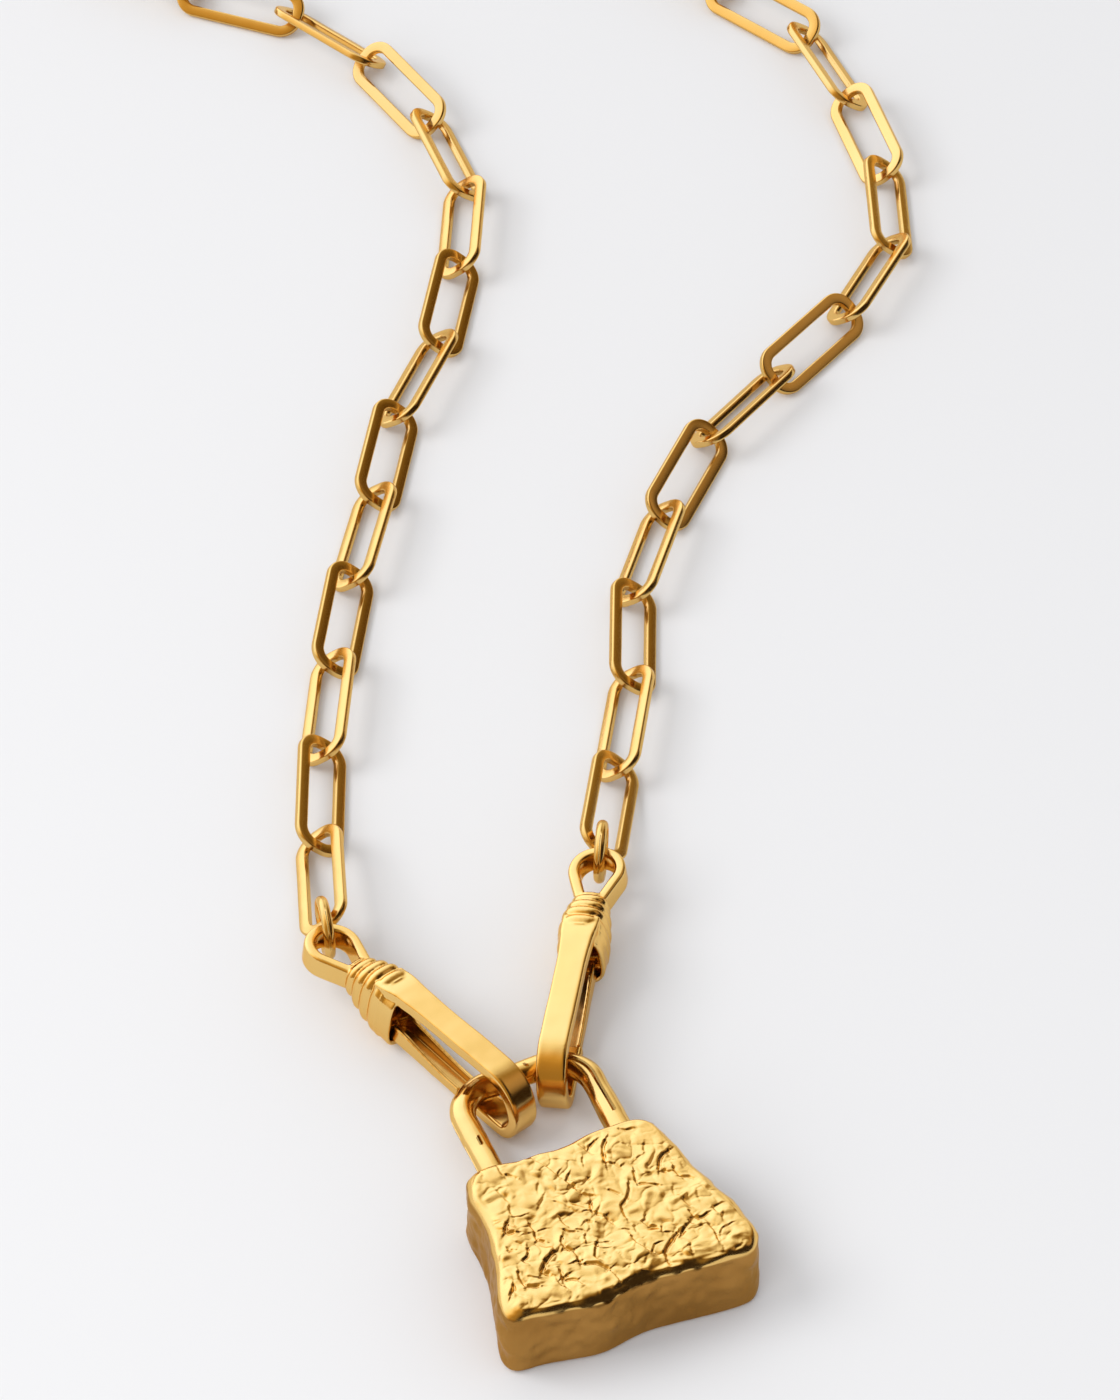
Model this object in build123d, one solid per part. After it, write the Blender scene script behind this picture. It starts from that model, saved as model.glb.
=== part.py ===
from build123d import *
import math
import os

# A padlock pendant on two spring hooks and a paper-clip chain, lying on a flat surface.
# Millimetres. The origin is the middle of the padlock's back, +Z is up and +Y points
# from the pendant towards the back of the neck.

# Chain
LINK_LENGTH = 10.88
LINK_WIDTH = 4.4
LINK_WIRE = 0.95
LINK_CORNER = 1.7
LINK_EDGE = 0.2
LINK_SLACK = 0.2
LINK_ROLL = 45.0
HIDDEN_LINKS = 16
SURFACE_GAP = 0.02
LOOP_SWING = 35.0
LOOP_LEAN = -64.0
LOOP_LIMIT = 12.0

# Jump rings
RING_WIRE = 0.95
RING_INSIDE = 2.9
RING_PLAY = 0.3

# Spring hooks
HOOK_LENGTH = 22.0
EYE_RADIUS = 1.95
EYE_WALL = 0.75
EYE_DEPTH = 1.8
EYE_LENGTH = 5.3
EYE_NECK = 1.7
EYE_TIP = 0.2
EYE_EDGE = 0.18
COLLAR_START = 4.6
RIDGE_WIDTH = 0.9
RIDGE_EDGE = 0.32
RIDGE_CORNER = 0.42
CUFF_LENGTH = 2.1
CUFF_WIDTH = 3.3
CUFF_TOP = 2.5
CUFF_BOTTOM = 2.85
CUFF_CORNER = 1.2
CUFF_WALL = 0.45
CUFF_ROOT = 0.1
POCKET_OVERRUN = 1.0
STRAP_WIDTH = 2.1
STRAP_THICK = 0.95
STRAP_EDGE = 0.14
NOSE_LENGTH = 5.8
STRAP_ROOT = 0.3
STRAP_RISE = 0.1
BEND_START = 2.4
BEND_BULGE = 0.15
BEND_DROP = 0.25
BEND_RADII = (3.4, 1.25, 0.95)
NOSE_DROP = 1.95
NOSE_SETBACK = 0.35
NOSE_RISE = 0.05

# Gates and their pins
GATE_WIDTH = 1.8
GATE_HEIGHT = 0.95
GATE_WALL = 0.32
GATE_EDGE = 0.25
GATE_TILT = 2.6
GATE_GAP = 0.14
KNUCKLE_RADIUS = 0.55
PIN_RADIUS = 0.25
PIN_CLEARANCE = 0.03
PIN_SKIN = 0.17
PIVOT_INSET = 0.7
PIVOT_DROP = 1.75

# Padlock
BODY_WIDTH = 18.7
BODY_HEIGHT = 13.4
BODY_THICK = 6.2
BODY_YAW = 23.4
BODY_SHOULDER = 0.54
RELIEF_HEIGHT = 0.42
CRACK_WIDTH = 0.03
ROD = 1.8
SHACKLE_SPAN = 9.5
SHACKLE_REACH = 10.19
SHACKLE_CORNER = 2.6
SHACKLE_LEVEL = 0.381
SHACKLE_SHIFT = 0.01
SOCKET_DEPTH = 2.2
FOOT_CLEARANCE = 0.05

# The chain's route: directions of the links of each strand, in degrees from +X, from its hook
# outwards. The hidden links between the two strands follow one smooth turn.
ROUTE = {
    "left": (94, 90, 86, 83, 79, 81, 69, 81, 87, 110, 124, 139, 160),
    "right": (83, 82, 89, 74, 67, 52, 51, 64, 92, 106, 113, 140),
}

# How each hook hangs on the bow: place along the bow as a share of the span, play between
# the rod and the bend, yaw, pitch and roll in degrees, and the way its ring leads.
HOOKS = {
    "left": {"along": -0.202, "play": 2.38, "yaw": -46.0, "pitch": 2.0, "roll": -9.3, "lead": 102},
    "right": {"along": 0.3645, "play": 1.59, "yaw": -99.7, "pitch": 1.9, "roll": 7.6, "lead": 85},
}

# Collar ridges: full width, height above the axis and depth below it, as shares of the cuff's.
RIDGES = (
    {"width": 0.72, "above": 0.50, "below": 0.42},
    {"width": 0.87, "above": 0.68, "below": 0.64},
    {"width": 0.98, "above": 0.85, "below": 0.84},
)

# Padlock outline at half thickness: shares of the body's width and height from its middle.
OUTLINE = (
    (-0.418, 0.400), (-0.405, 0.502), (-0.357, 0.556), (-0.257, 0.553), (-0.107, 0.538),
    (0.032, 0.540), (0.160, 0.562), (0.267, 0.556), (0.326, 0.500), (0.350, 0.379),
    (0.378, 0.227), (0.409, 0.045), (0.444, -0.121), (0.469, -0.258), (0.464, -0.380),
    (0.414, -0.460), (0.294, -0.460), (0.128, -0.436), (0.021, -0.424), (-0.064, -0.436),
    (-0.171, -0.462), (-0.299, -0.430), (-0.396, -0.404), (-0.481, -0.397), (-0.516, -0.320),
    (-0.496, -0.190), (-0.460, -0.030), (-0.430, 0.121), (-0.416, 0.258),
)
AROUND = 72

# Padlock sections: share of the thickness, and how far the outline pulls in as a share of it.
SECTIONS = (
    {"height": 0.00, "inset": 0.120},
    {"height": 0.04, "inset": 0.055},
    {"height": 0.12, "inset": 0.010},
    {"height": 0.30, "inset": 0.000},
    {"height": 0.55, "inset": 0.000},
    {"height": 0.78, "inset": 0.012},
    {"height": 0.90, "inset": 0.035},
    {"height": 0.97, "inset": 0.085},
)
FRONT_RINGS = (0.985, 0.93, 0.85, 0.76, 0.66, 0.56, 0.46, 0.36, 0.26, 0.16, 0.07)

# Lumps of the cast front: place across and up as shares of the body, rise as a share of the
# relief, and radius as a share of the body's height.
LUMPS = (
    {"across": -0.33, "up": 0.34, "rise": 0.6, "radius": 0.12},
    {"across": -0.20, "up": 0.42, "rise": 0.5, "radius": 0.09},
    {"across": -0.05, "up": 0.36, "rise": 0.8, "radius": 0.13},
    {"across": 0.12, "up": 0.42, "rise": 0.6, "radius": 0.09},
    {"across": 0.25, "up": 0.38, "rise": 0.9, "radius": 0.11},
    {"across": -0.24, "up": 0.17, "rise": 0.8, "radius": 0.13},
    {"across": -0.08, "up": 0.15, "rise": 0.5, "radius": 0.10},
    {"across": 0.08, "up": 0.19, "rise": 0.9, "radius": 0.12},
    {"across": 0.24, "up": 0.16, "rise": 0.6, "radius": 0.12},
    {"across": -0.36, "up": 0.02, "rise": 0.7, "radius": 0.11},
    {"across": -0.16, "up": -0.03, "rise": 0.8, "radius": 0.11},
    {"across": 0.02, "up": 0.00, "rise": 0.6, "radius": 0.10},
    {"across": 0.17, "up": -0.02, "rise": 0.9, "radius": 0.12},
    {"across": 0.33, "up": -0.03, "rise": 0.7, "radius": 0.12},
    {"across": -0.31, "up": -0.17, "rise": 0.9, "radius": 0.11},
    {"across": -0.09, "up": -0.20, "rise": 0.7, "radius": 0.11},
    {"across": 0.10, "up": -0.20, "rise": 0.8, "radius": 0.11},
    {"across": 0.27, "up": -0.22, "rise": 0.7, "radius": 0.11},
    {"across": 0.41, "up": -0.26, "rise": 0.8, "radius": 0.09},
    {"across": -0.42, "up": -0.30, "rise": 0.7, "radius": 0.08},
    {"across": -0.20, "up": -0.36, "rise": 1.0, "radius": 0.11},
    {"across": 0.02, "up": -0.35, "rise": 0.6, "radius": 0.09},
    {"across": 0.20, "up": -0.36, "rise": 0.6, "radius": 0.09},
)

# Cracks of the cast front: start and end as shares of the body, depth as a share of the relief.
CRACKS = (
    {"start": (-0.19, 0.52), "end": (-0.06, 0.24), "depth": 0.7},
    {"start": (-0.06, 0.24), "end": (0.08, 0.08), "depth": 0.6},
    {"start": (0.19, 0.34), "end": (0.17, 0.25), "depth": 0.8},
    {"start": (-0.34, 0.10), "end": (-0.12, 0.06), "depth": 0.5},
    {"start": (0.02, -0.10), "end": (0.30, -0.14), "depth": 0.6},
    {"start": (0.30, 0.24), "end": (0.42, 0.02), "depth": 0.5},
    {"start": (-0.30, -0.26), "end": (-0.10, -0.30), "depth": 0.6},
    {"start": (0.05, -0.44), "end": (0.09, -0.30), "depth": 0.8},
    {"start": (0.20, -0.44), "end": (0.24, -0.33), "depth": 0.8},
)


def turned(angle, x, y):
    """A plan vector turned by an angle in degrees."""
    c = math.cos(math.radians(angle))
    s = math.sin(math.radians(angle))
    return (c * x - s * y, s * x + c * y)


# Padlock body

def body_point(across, up):
    """A point of the padlock's face from shares of its width and height."""
    return (across * BODY_WIDTH, up * BODY_HEIGHT)


def outline_at(turn):
    """The closed outline, a smooth curve through the table's points, at a share of its round."""
    count = len(OUTLINE)
    place = turn * count
    index = int(place)
    t = place - index
    near = [body_point(*OUTLINE[(index + k) % count]) for k in (-1, 0, 1, 2)]
    point = []
    for p0, p1, p2, p3 in zip(*near):
        slope = p2 - p0
        bend = 2 * p0 - 5 * p1 + 4 * p2 - p3
        twist = 3 * p1 - p0 - 3 * p2 + p3
        point.append(0.5 * (2 * p1 + slope * t + bend * t * t + twist * t ** 3))
    return tuple(point)


def pulled_in(point, inset):
    """A point moved towards the middle by an inset."""
    reach = math.hypot(*point)
    return (point[0] * (1 - inset / reach), point[1] * (1 - inset / reach))


def relief(x, y):
    """Height of the cast front above its rim."""
    height = 0.0
    for lump in LUMPS:
        cx, cy = body_point(lump["across"], lump["up"])
        away = math.hypot(x - cx, y - cy) / (lump["radius"] * BODY_HEIGHT)
        height = max(height, lump["rise"] * (1 - away * away))
    for crack in CRACKS:
        ax, ay = body_point(*crack["start"])
        bx, by = body_point(*crack["end"])
        run = (bx - ax) ** 2 + (by - ay) ** 2
        t = min(1.0, max(0.0, ((x - ax) * (bx - ax) + (y - ay) * (by - ay)) / run))
        away = math.hypot(x - ax - t * (bx - ax), y - ay - t * (by - ay))
        height -= crack["depth"] * math.exp(-(away / (CRACK_WIDTH * BODY_HEIGHT)) ** 2)
    return height * RELIEF_HEIGHT


def padlock_body():
    """The faceted padlock block with its relief, in its own frame."""
    rim = [outline_at(i / AROUND) for i in range(AROUND)]
    levels = []
    for section in SECTIONS:
        z = section["height"] * BODY_THICK
        inset = section["inset"] * BODY_THICK
        levels.append([pulled_in(p, inset) + (z,) for p in rim])
    edge = [pulled_in(p, SECTIONS[-1]["inset"] * BODY_THICK) for p in rim]
    for share in FRONT_RINGS:
        ring = [(x * share, y * share) for x, y in edge]
        levels.append([(x, y, BODY_THICK + relief(x, y)) for x, y in ring])
    faces = [Face(Wire.make_polygon(levels[0], close=True))]
    for low, high in zip(levels, levels[1:]):
        for i in range(AROUND):
            j = (i + 1) % AROUND
            faces.append(Face(Wire.make_polygon([low[i], low[j], high[j]], close=True)))
            faces.append(Face(Wire.make_polygon([low[i], high[j], high[i]], close=True)))
    centre = (0, 0, BODY_THICK + relief(0, 0))
    last = levels[-1]
    for i in range(AROUND):
        faces.append(Face(Wire.make_polygon([last[i], last[(i + 1) % AROUND], centre], close=True)))
    block = Part() + Solid(Shell(faces))
    from_floor = (Align.CENTER, Align.CENTER, Align.MIN)
    bore = Cylinder(ROD / 2 + FOOT_CLEARANCE, BODY_HEIGHT / 2, align=from_floor)
    for x in shackle_feet():
        floor = (x, socket_floor() - FOOT_CLEARANCE, shackle_level())
        block -= Plane(floor, z_dir=(0, 1, 0)) * bore
    return block


# Shackle

def body_top():
    """Height of the padlock's top side between the shoulders."""
    return BODY_SHOULDER * BODY_HEIGHT


def shackle_level():
    """Height of the rod's axis above the surface."""
    return SHACKLE_LEVEL * BODY_THICK


def shackle_feet():
    """Places of the two feet across the body."""
    middle = SHACKLE_SHIFT * BODY_WIDTH
    return (middle - SHACKLE_SPAN / 2, middle + SHACKLE_SPAN / 2)


def socket_floor():
    return body_top() - SOCKET_DEPTH


def bow_height():
    """Height of the bow's axis in the padlock's frame."""
    return body_top() + SHACKLE_REACH - ROD / 2


def shackle():
    """The round rod bow, in the padlock's frame."""
    left, right = shackle_feet()
    level = shackle_level()
    path = FilletPolyline(
        (left, socket_floor(), level),
        (left, bow_height(), level),
        (right, bow_height(), level),
        (right, socket_floor(), level),
        radius=SHACKLE_CORNER,
    )
    return sweep(Plane(path @ 0, z_dir=path % 0) * Circle(ROD / 2), path=path)


# Spring hooks, each along +X from its eye to its nose, with the strap on the +Z side

def yz_plane(x, z=0.0):
    return Plane((x, 0, z), x_dir=(0, 1, 0), z_dir=(1, 0, 0))


def eye():
    """Teardrop eye, a flat band bent round."""
    inner = EYE_RADIUS - EYE_WALL
    tip = EYE_LENGTH - 2 * EYE_WALL
    outside = [Pos(EYE_RADIUS, 0) * Circle(EYE_RADIUS), Pos(EYE_LENGTH, 0) * Circle(EYE_NECK / 2)]
    inside = [Pos(EYE_RADIUS, 0) * Circle(inner), Pos(tip, 0) * Circle(EYE_TIP)]
    band = make_hull([e for c in outside for e in c.edges()])
    hole = make_hull([e for c in inside for e in c.edges()])
    solid = Pos(0, 0, -EYE_DEPTH / 2) * extrude(band - hole, EYE_DEPTH, dir=(0, 0, 1))
    ends = solid.edges().group_by(Axis.Z)
    return fillet(ends[0] + ends[-1], EYE_EDGE)


def cuff_start():
    return COLLAR_START + len(RIDGES) * RIDGE_WIDTH


def mouth():
    """Place of the cuff's open end."""
    return cuff_start() + CUFF_LENGTH


def ridge_size(ridge):
    """A ridge's width, its height above the hook's axis and its depth below it."""
    return (ridge["width"] * CUFF_WIDTH, ridge["above"] * CUFF_TOP, ridge["below"] * CUFF_BOTTOM)


def collar():
    """Three rounded ridges that widen towards the cuff."""
    solid = Part()
    for i, ridge in enumerate(RIDGES):
        width, above, below = ridge_size(ridge)
        slab = yz_plane(COLLAR_START + i * RIDGE_WIDTH, (above - below) / 2)
        face = slab * RectangleRounded(width, above + below, RIDGE_CORNER * width)
        ring = extrude(face, RIDGE_WIDTH)
        ends = ring.edges().group_by(Axis.X)
        solid += fillet(ends[0] + ends[-1], RIDGE_EDGE)
    return solid


def cuff():
    """The cuff before it is hollowed, widening from the last ridge to its mouth."""
    width, above, below = ridge_size(RIDGES[-1])
    root = yz_plane(cuff_start() - CUFF_ROOT, (above - below) / 2)
    end = yz_plane(mouth(), (CUFF_TOP - CUFF_BOTTOM) / 2)
    small = root * RectangleRounded(width, above + below, CUFF_CORNER)
    large = end * RectangleRounded(CUFF_WIDTH, CUFF_TOP + CUFF_BOTTOM, CUFF_CORNER)
    return loft([small, large])


def strap_path():
    """Corners of the strap's middle line and the radius at each inner one."""
    top = CUFF_TOP - STRAP_THICK / 2
    far = HOOK_LENGTH - STRAP_THICK / 2
    points = [
        (cuff_start() + STRAP_ROOT, top),
        (far - BEND_START, top + STRAP_RISE),
        (far + BEND_BULGE, -BEND_DROP),
        (far - NOSE_SETBACK, -NOSE_DROP - NOSE_RISE),
        (HOOK_LENGTH - NOSE_LENGTH, -NOSE_DROP),
    ]
    return points, BEND_RADII


def offset_line(points, away):
    """An open line of corners moved sideways, to the left of its run for a positive offset."""
    normals = []
    for (x0, z0), (x1, z1) in zip(points, points[1:]):
        run = math.hypot(x1 - x0, z1 - z0)
        normals.append((-(z1 - z0) / run, (x1 - x0) / run))
    moved = []
    for i, (x, z) in enumerate(points):
        n0 = normals[max(0, i - 1)]
        n1 = normals[min(len(normals) - 1, i)]
        scale = away / (1 + n0[0] * n1[0] + n0[1] * n1[1])
        moved.append((x + (n0[0] + n1[0]) * scale, z + (n0[1] + n1[1]) * scale))
    return moved


def strap():
    """The hook's strap, from the cuff over the bend to the nose."""
    points, radii = strap_path()
    half = STRAP_THICK / 2
    outer = [(x, 0, z) for x, z in offset_line(points, half)]
    inner = [(x, 0, z) for x, z in offset_line(points, -half)]
    over = FilletPolyline(*outer, radius=[r + half for r in radii])
    under = FilletPolyline(*inner, radius=[r - half for r in radii])
    rim = over.edges() + under.edges() + [Line(outer[0], inner[0]), Line(outer[-1], inner[-1])]
    face = make_face(rim)
    solid = extrude(face, STRAP_WIDTH / 2, dir=(0, 1, 0), both=True)
    sides = solid.edges().group_by(Axis.Y)
    return fillet(sides[0] + sides[-1], STRAP_EDGE)


def pivot():
    """Place of the gate's hinge in the hook's frame."""
    return (mouth() - PIVOT_INSET, -PIVOT_DROP)


def across(x, z, radius, length):
    """A round bar across the hook."""
    return Pos(x, 0, z) * Rot(90, 0, 0) * Cylinder(radius, length)


def hook():
    """One cast hook: its cuff is hollow and open at the mouth, with blind bores for the pin."""
    solid = eye() + collar() + cuff() + strap()
    roof = CUFF_TOP - STRAP_THICK
    floor = CUFF_BOTTOM - CUFF_WALL
    back = cuff_start() + CUFF_WALL / 2
    length = CUFF_LENGTH + POCKET_OVERRUN
    from_back = (Align.MIN, Align.CENTER, Align.MIN)
    pocket = Box(length, CUFF_WIDTH - 2 * CUFF_WALL, roof + floor, align=from_back)
    solid -= Pos(back, 0, -floor) * pocket
    x, z = pivot()
    solid -= across(x, z, PIN_RADIUS + PIN_CLEARANCE, CUFF_WIDTH - 2 * PIN_SKIN)
    return solid


def gate():
    """Channel-shaped gate with its knuckle."""
    x, z = pivot()
    length = HOOK_LENGTH - NOSE_LENGTH - GATE_GAP - x
    below_hinge = (Align.MIN, Align.CENTER, Align.MAX)
    outer = Box(length, GATE_WIDTH, GATE_HEIGHT, align=below_hinge)
    outer = fillet(outer.edges().filter_by(Axis.X).group_by(Axis.Z)[0], GATE_EDGE)
    room = Box(length, GATE_WIDTH - 2 * GATE_WALL, GATE_HEIGHT, align=below_hinge)
    channel = outer - Pos(KNUCKLE_RADIUS, 0, GATE_WALL) * room
    channel = Pos(0, 0, KNUCKLE_RADIUS) * channel
    solid = channel + across(0, 0, KNUCKLE_RADIUS, GATE_WIDTH)
    solid -= across(0, 0, PIN_RADIUS + PIN_CLEARANCE, GATE_WIDTH * 2)
    return Pos(x, 0, z) * Rot(0, GATE_TILT, 0) * solid


def gate_pin():
    x, z = pivot()
    return across(x, z, PIN_RADIUS, CUFF_WIDTH - 2 * PIN_SKIN - 2 * PIN_CLEARANCE)


def hook_place(side, solid):
    """Location of a hook: its bend hangs on the bow and its lowest point rests on the surface."""
    lay = HOOKS[side]
    x, y = turned(BODY_YAW, lay["along"] * SHACKLE_SPAN, bow_height())
    reach = HOOK_LENGTH - STRAP_THICK - ROD / 2 - lay["play"]
    dx, dy = turned(lay["yaw"], reach, 0)
    lean = Rot(0, lay["pitch"], 0) * Rot(lay["roll"], 0, 0)
    place = Location((x - dx, y - dy, 0), (0, 0, lay["yaw"])) * lean
    return Pos(0, 0, SURFACE_GAP - (place * solid).bounding_box().min.Z) * place


# Jump rings

def eye_centre(place):
    return (place * Pos(EYE_RADIUS, 0, 0)).position


def link_end(side, centre):
    """Middle of the end wire of the link that a ring holds."""
    dx, dy = turned(HOOKS[side]["lead"], EYE_RADIUS + RING_PLAY + LINK_WIRE / 2, 0)
    return Vector(centre.X + dx, centre.Y + dy, centre.Z - RING_PLAY / 2)


def jump_ring(side, centre):
    """A round ring that holds the eye and the first link."""
    near = EYE_RADIUS - EYE_WALL
    far = EYE_RADIUS + RING_PLAY + LINK_WIRE
    dx, dy = turned(HOOKS[side]["lead"], (near + far) / 2, 0)
    middle = (centre.X + dx, centre.Y + dy, centre.Z)
    normal = turned(HOOKS[side]["lead"] + 90, 1, 0) + (0,)
    place = Plane(middle, x_dir=(0, 0, 1), z_dir=normal)
    return place * Torus((RING_INSIDE + RING_WIRE) / 2, RING_WIRE / 2)


# Chain

def link():
    """One flat-wire link, along X."""
    outer = RectangleRounded(LINK_LENGTH, LINK_WIDTH, LINK_CORNER)
    room = (LINK_LENGTH - 2 * LINK_WIRE, LINK_WIDTH - 2 * LINK_WIRE)
    inner = RectangleRounded(*room, LINK_CORNER - LINK_WIRE)
    ring = Pos(0, 0, -LINK_WIRE / 2) * extrude(outer - inner, LINK_WIRE, dir=(0, 0, 1))
    ends = ring.edges().group_by(Axis.Z)
    return chamfer(ends[0] + ends[-1], LINK_EDGE)


def link_pitch():
    return LINK_LENGTH - 2 * LINK_WIRE - LINK_SLACK


def rest_level():
    """Height of a link's middle when it lies on one long edge."""
    tilt = math.radians(LINK_ROLL)
    across = (LINK_WIDTH / 2 - LINK_EDGE) * math.sin(tilt)
    return across + (LINK_WIRE / 2) * math.cos(tilt) + SURFACE_GAP


def strand(end, route):
    """Places where the links of one strand meet, from its hook outwards."""
    dx, dy = turned(route[0], LINK_WIRE / 2 + LINK_SLACK / 2, 0)
    places = [(end.X + dx, end.Y + dy, end.Z)]
    for heading in route:
        x, y, z = places[-1]
        run = math.sqrt(link_pitch() ** 2 - (z - rest_level()) ** 2)
        dx, dy = turned(heading, run, 0)
        places.append((x + dx, y + dy, rest_level()))
    return places


def hidden_headings(swing, lean):
    """Headings of the hidden links: an even turn with a swing and a lean on top."""
    first = ROUTE["left"][-1]
    last = ROUTE["right"][-1] - 180
    headings = []
    for i in range(HIDDEN_LINKS):
        share = (i + 1) / (HIDDEN_LINKS + 1)
        turn = first + (last - first) * share
        headings.append(turn + swing * math.sin(2 * math.pi * share) + lean * math.sin(math.pi * share))
    return headings


def hidden_places(start, swing, lean):
    places = [start]
    for heading in hidden_headings(swing, lean):
        dx, dy = turned(heading, link_pitch(), 0)
        x, y, z = places[-1]
        places.append((x + dx, y + dy, z))
    return places


def close_loop(start, goal):
    """Find the swing and lean, in degrees, that bring the hidden links to the other strand."""
    swing, lean, step = LOOP_SWING, LOOP_LEAN, 0.001
    for _ in range(40):
        def miss(a, b):
            x, y, z = hidden_places(start, a, b)[-1]
            return (x - goal[0], y - goal[1])
        ex, ey = miss(swing, lean)
        ax, ay = miss(swing + step, lean)
        bx, by = miss(swing, lean + step)
        a11, a21 = (ax - ex) / step, (ay - ey) / step
        a12, a22 = (bx - ex) / step, (by - ey) / step
        size = a11 * a22 - a12 * a21
        swing += max(-LOOP_LIMIT, min(LOOP_LIMIT, (a12 * ey - a22 * ex) / size))
        lean += max(-LOOP_LIMIT, min(LOOP_LIMIT, (a21 * ex - a11 * ey) / size))
    return hidden_places(start, swing, lean)


def chain_places(eyes):
    """All places where links meet, from the left hook round to the right one."""
    left = strand(link_end("left", eyes["left"]), ROUTE["left"])
    right = strand(link_end("right", eyes["right"]), ROUTE["right"])
    hidden = close_loop(left[-1], right[-1])
    return left + hidden[1:-1] + right[::-1]


def chain(eyes):
    """Every link in its place, in turn leaning to the left and to the right of its run."""
    places = chain_places(eyes)
    piece = link()
    links = []
    for i, (a, b) in enumerate(zip(places, places[1:])):
        a, b = Vector(*a), Vector(*b)
        along = (b - a).normalized()
        side = Vector(0, 0, 1).cross(along).normalized()
        up = along.cross(side)
        tilt = math.radians(LINK_ROLL if i % 2 == 0 else -LINK_ROLL)
        face = up * math.cos(tilt) + side * math.sin(tilt)
        links.append(Plane((a + b) / 2, x_dir=along, z_dir=face) * piece)
    return links


def parts():
    """Every node's name and its solid in place."""
    body = Rot(0, 0, BODY_YAW)
    nodes = {"padlock_body": body * padlock_body(), "shackle": body * shackle()}
    one_hook = hook()
    one_gate = gate()
    one_pin = gate_pin()
    eyes = {}
    for side in HOOKS:
        place = hook_place(side, one_hook)
        eyes[side] = eye_centre(place)
        nodes[side + "_hook"] = place * one_hook
        nodes[side + "_gate"] = place * one_gate
        nodes[side + "_gate_pin"] = place * one_pin
        nodes[side + "_jump_ring"] = jump_ring(side, eyes[side])
        x, z = pivot()
        hinge = (place * Pos(x, 0, z)).position
        way = hinge - (place * Pos(x, 1, z)).position
        print(side, "hinge", [round(v, 4) for v in hinge], "axis", [round(v, 5) for v in way])
    for number, one in enumerate(chain(eyes), start=1):
        nodes["chain_link_%02d" % number] = one
    return nodes


def main():
    os.makedirs("parts", exist_ok=True)
    for name, solid in parts().items():
        export_step(solid, "parts/%s.step" % name)


main()
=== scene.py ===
"""The looks of a gold padlock pendant on two spring hooks and a paper-clip chain."""
import math

import bpy
import numpy as np
from mathutils import Matrix, Vector, noise
from mathutils.bvhtree import BVHTree

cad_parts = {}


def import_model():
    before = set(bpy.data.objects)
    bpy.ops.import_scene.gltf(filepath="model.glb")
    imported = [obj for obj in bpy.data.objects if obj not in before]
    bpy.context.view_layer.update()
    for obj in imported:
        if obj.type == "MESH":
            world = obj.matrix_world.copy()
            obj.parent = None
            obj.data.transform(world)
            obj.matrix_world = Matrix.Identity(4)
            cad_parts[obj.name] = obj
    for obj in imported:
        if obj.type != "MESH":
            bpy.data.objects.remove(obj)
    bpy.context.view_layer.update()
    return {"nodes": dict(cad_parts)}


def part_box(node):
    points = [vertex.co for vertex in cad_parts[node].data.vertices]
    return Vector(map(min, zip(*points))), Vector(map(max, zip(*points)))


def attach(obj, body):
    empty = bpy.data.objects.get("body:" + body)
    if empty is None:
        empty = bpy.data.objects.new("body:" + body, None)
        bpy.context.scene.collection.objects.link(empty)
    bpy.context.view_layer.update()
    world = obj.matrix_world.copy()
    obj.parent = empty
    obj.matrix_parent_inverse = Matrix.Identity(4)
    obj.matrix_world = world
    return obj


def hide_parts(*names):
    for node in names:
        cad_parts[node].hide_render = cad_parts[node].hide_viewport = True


MM = 0.001

# Camera: the place on the floor that it looks at, how far off it is, how steeply it looks down, how near it
# sees, its sensor's height, and its focal length in pixels of the photograph
CAMERA_AIM = (-3.3 * MM, 52.818 * MM)
CAMERA_FAR = 440.33 * MM
CAMERA_DOWN = math.radians(47.0)
CAMERA_NEAREST = 0.01
CAMERA_SENSOR = 36.0
FOCAL_PIXELS = 6000
PHOTO_HEIGHT = 1400

# Floor
FLOOR_SIZE = 4.0
FLOOR_COLOUR = (0.86, 0.86, 0.87, 1.0)
FLOOR_ROUGHNESS = 0.9
FLOOR_SHINE = 0.1

# Studio light: the way that it comes from, and its colour by how far a direction leans that way
LIGHT_WAY = (-0.60, 0.75, 0.28)
SKY = (
    {"toward": -0.50, "colour": (0.024, 0.011, 0.002)},
    {"toward": -0.20, "colour": (0.024, 0.012, 0.003)},
    {"toward": -0.02, "colour": (0.10, 0.052, 0.007)},
    {"toward": 0.08, "colour": (0.145, 0.075, 0.008)},
    {"toward": 0.28, "colour": (0.40, 0.27, 0.08)},
    {"toward": 0.60, "colour": (1.16, 1.18, 1.14)},
    {"toward": 0.80, "colour": (1.40, 1.54, 1.95)},
    {"toward": 1.00, "colour": (1.86, 1.90, 2.40)},
)
# Two weaker lights in the metal: one to the right, and one on the camera's side for the views from behind
FILL_WAY = (0.76, 0.20, 0.62)
FILL = (
    {"toward": 0.935, "colour": (0.0, 0.0, 0.0)},
    {"toward": 0.995, "colour": (0.46, 0.33, 0.19)},
)
NEAR_WAY = (-0.55, -0.62, 0.56)
NEAR = (
    {"toward": 0.60, "colour": (0.0, 0.0, 0.0)},
    {"toward": 0.86, "colour": (0.38, 0.25, 0.075)},
)
# What lights the floor: an even tent and two square lamps
TENT = (0.67, 0.67, 0.675, 1.0)
LAMPS = (
    {"name": "key", "place": (-0.52, 0.02, 0.50), "size": 0.40, "power": 2.1},
    {"name": "front", "place": (-0.30, -0.55, 0.45), "size": 0.50, "power": 1.3},
)
LAMPS_AIM = (0, 0.03, 0)

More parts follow.
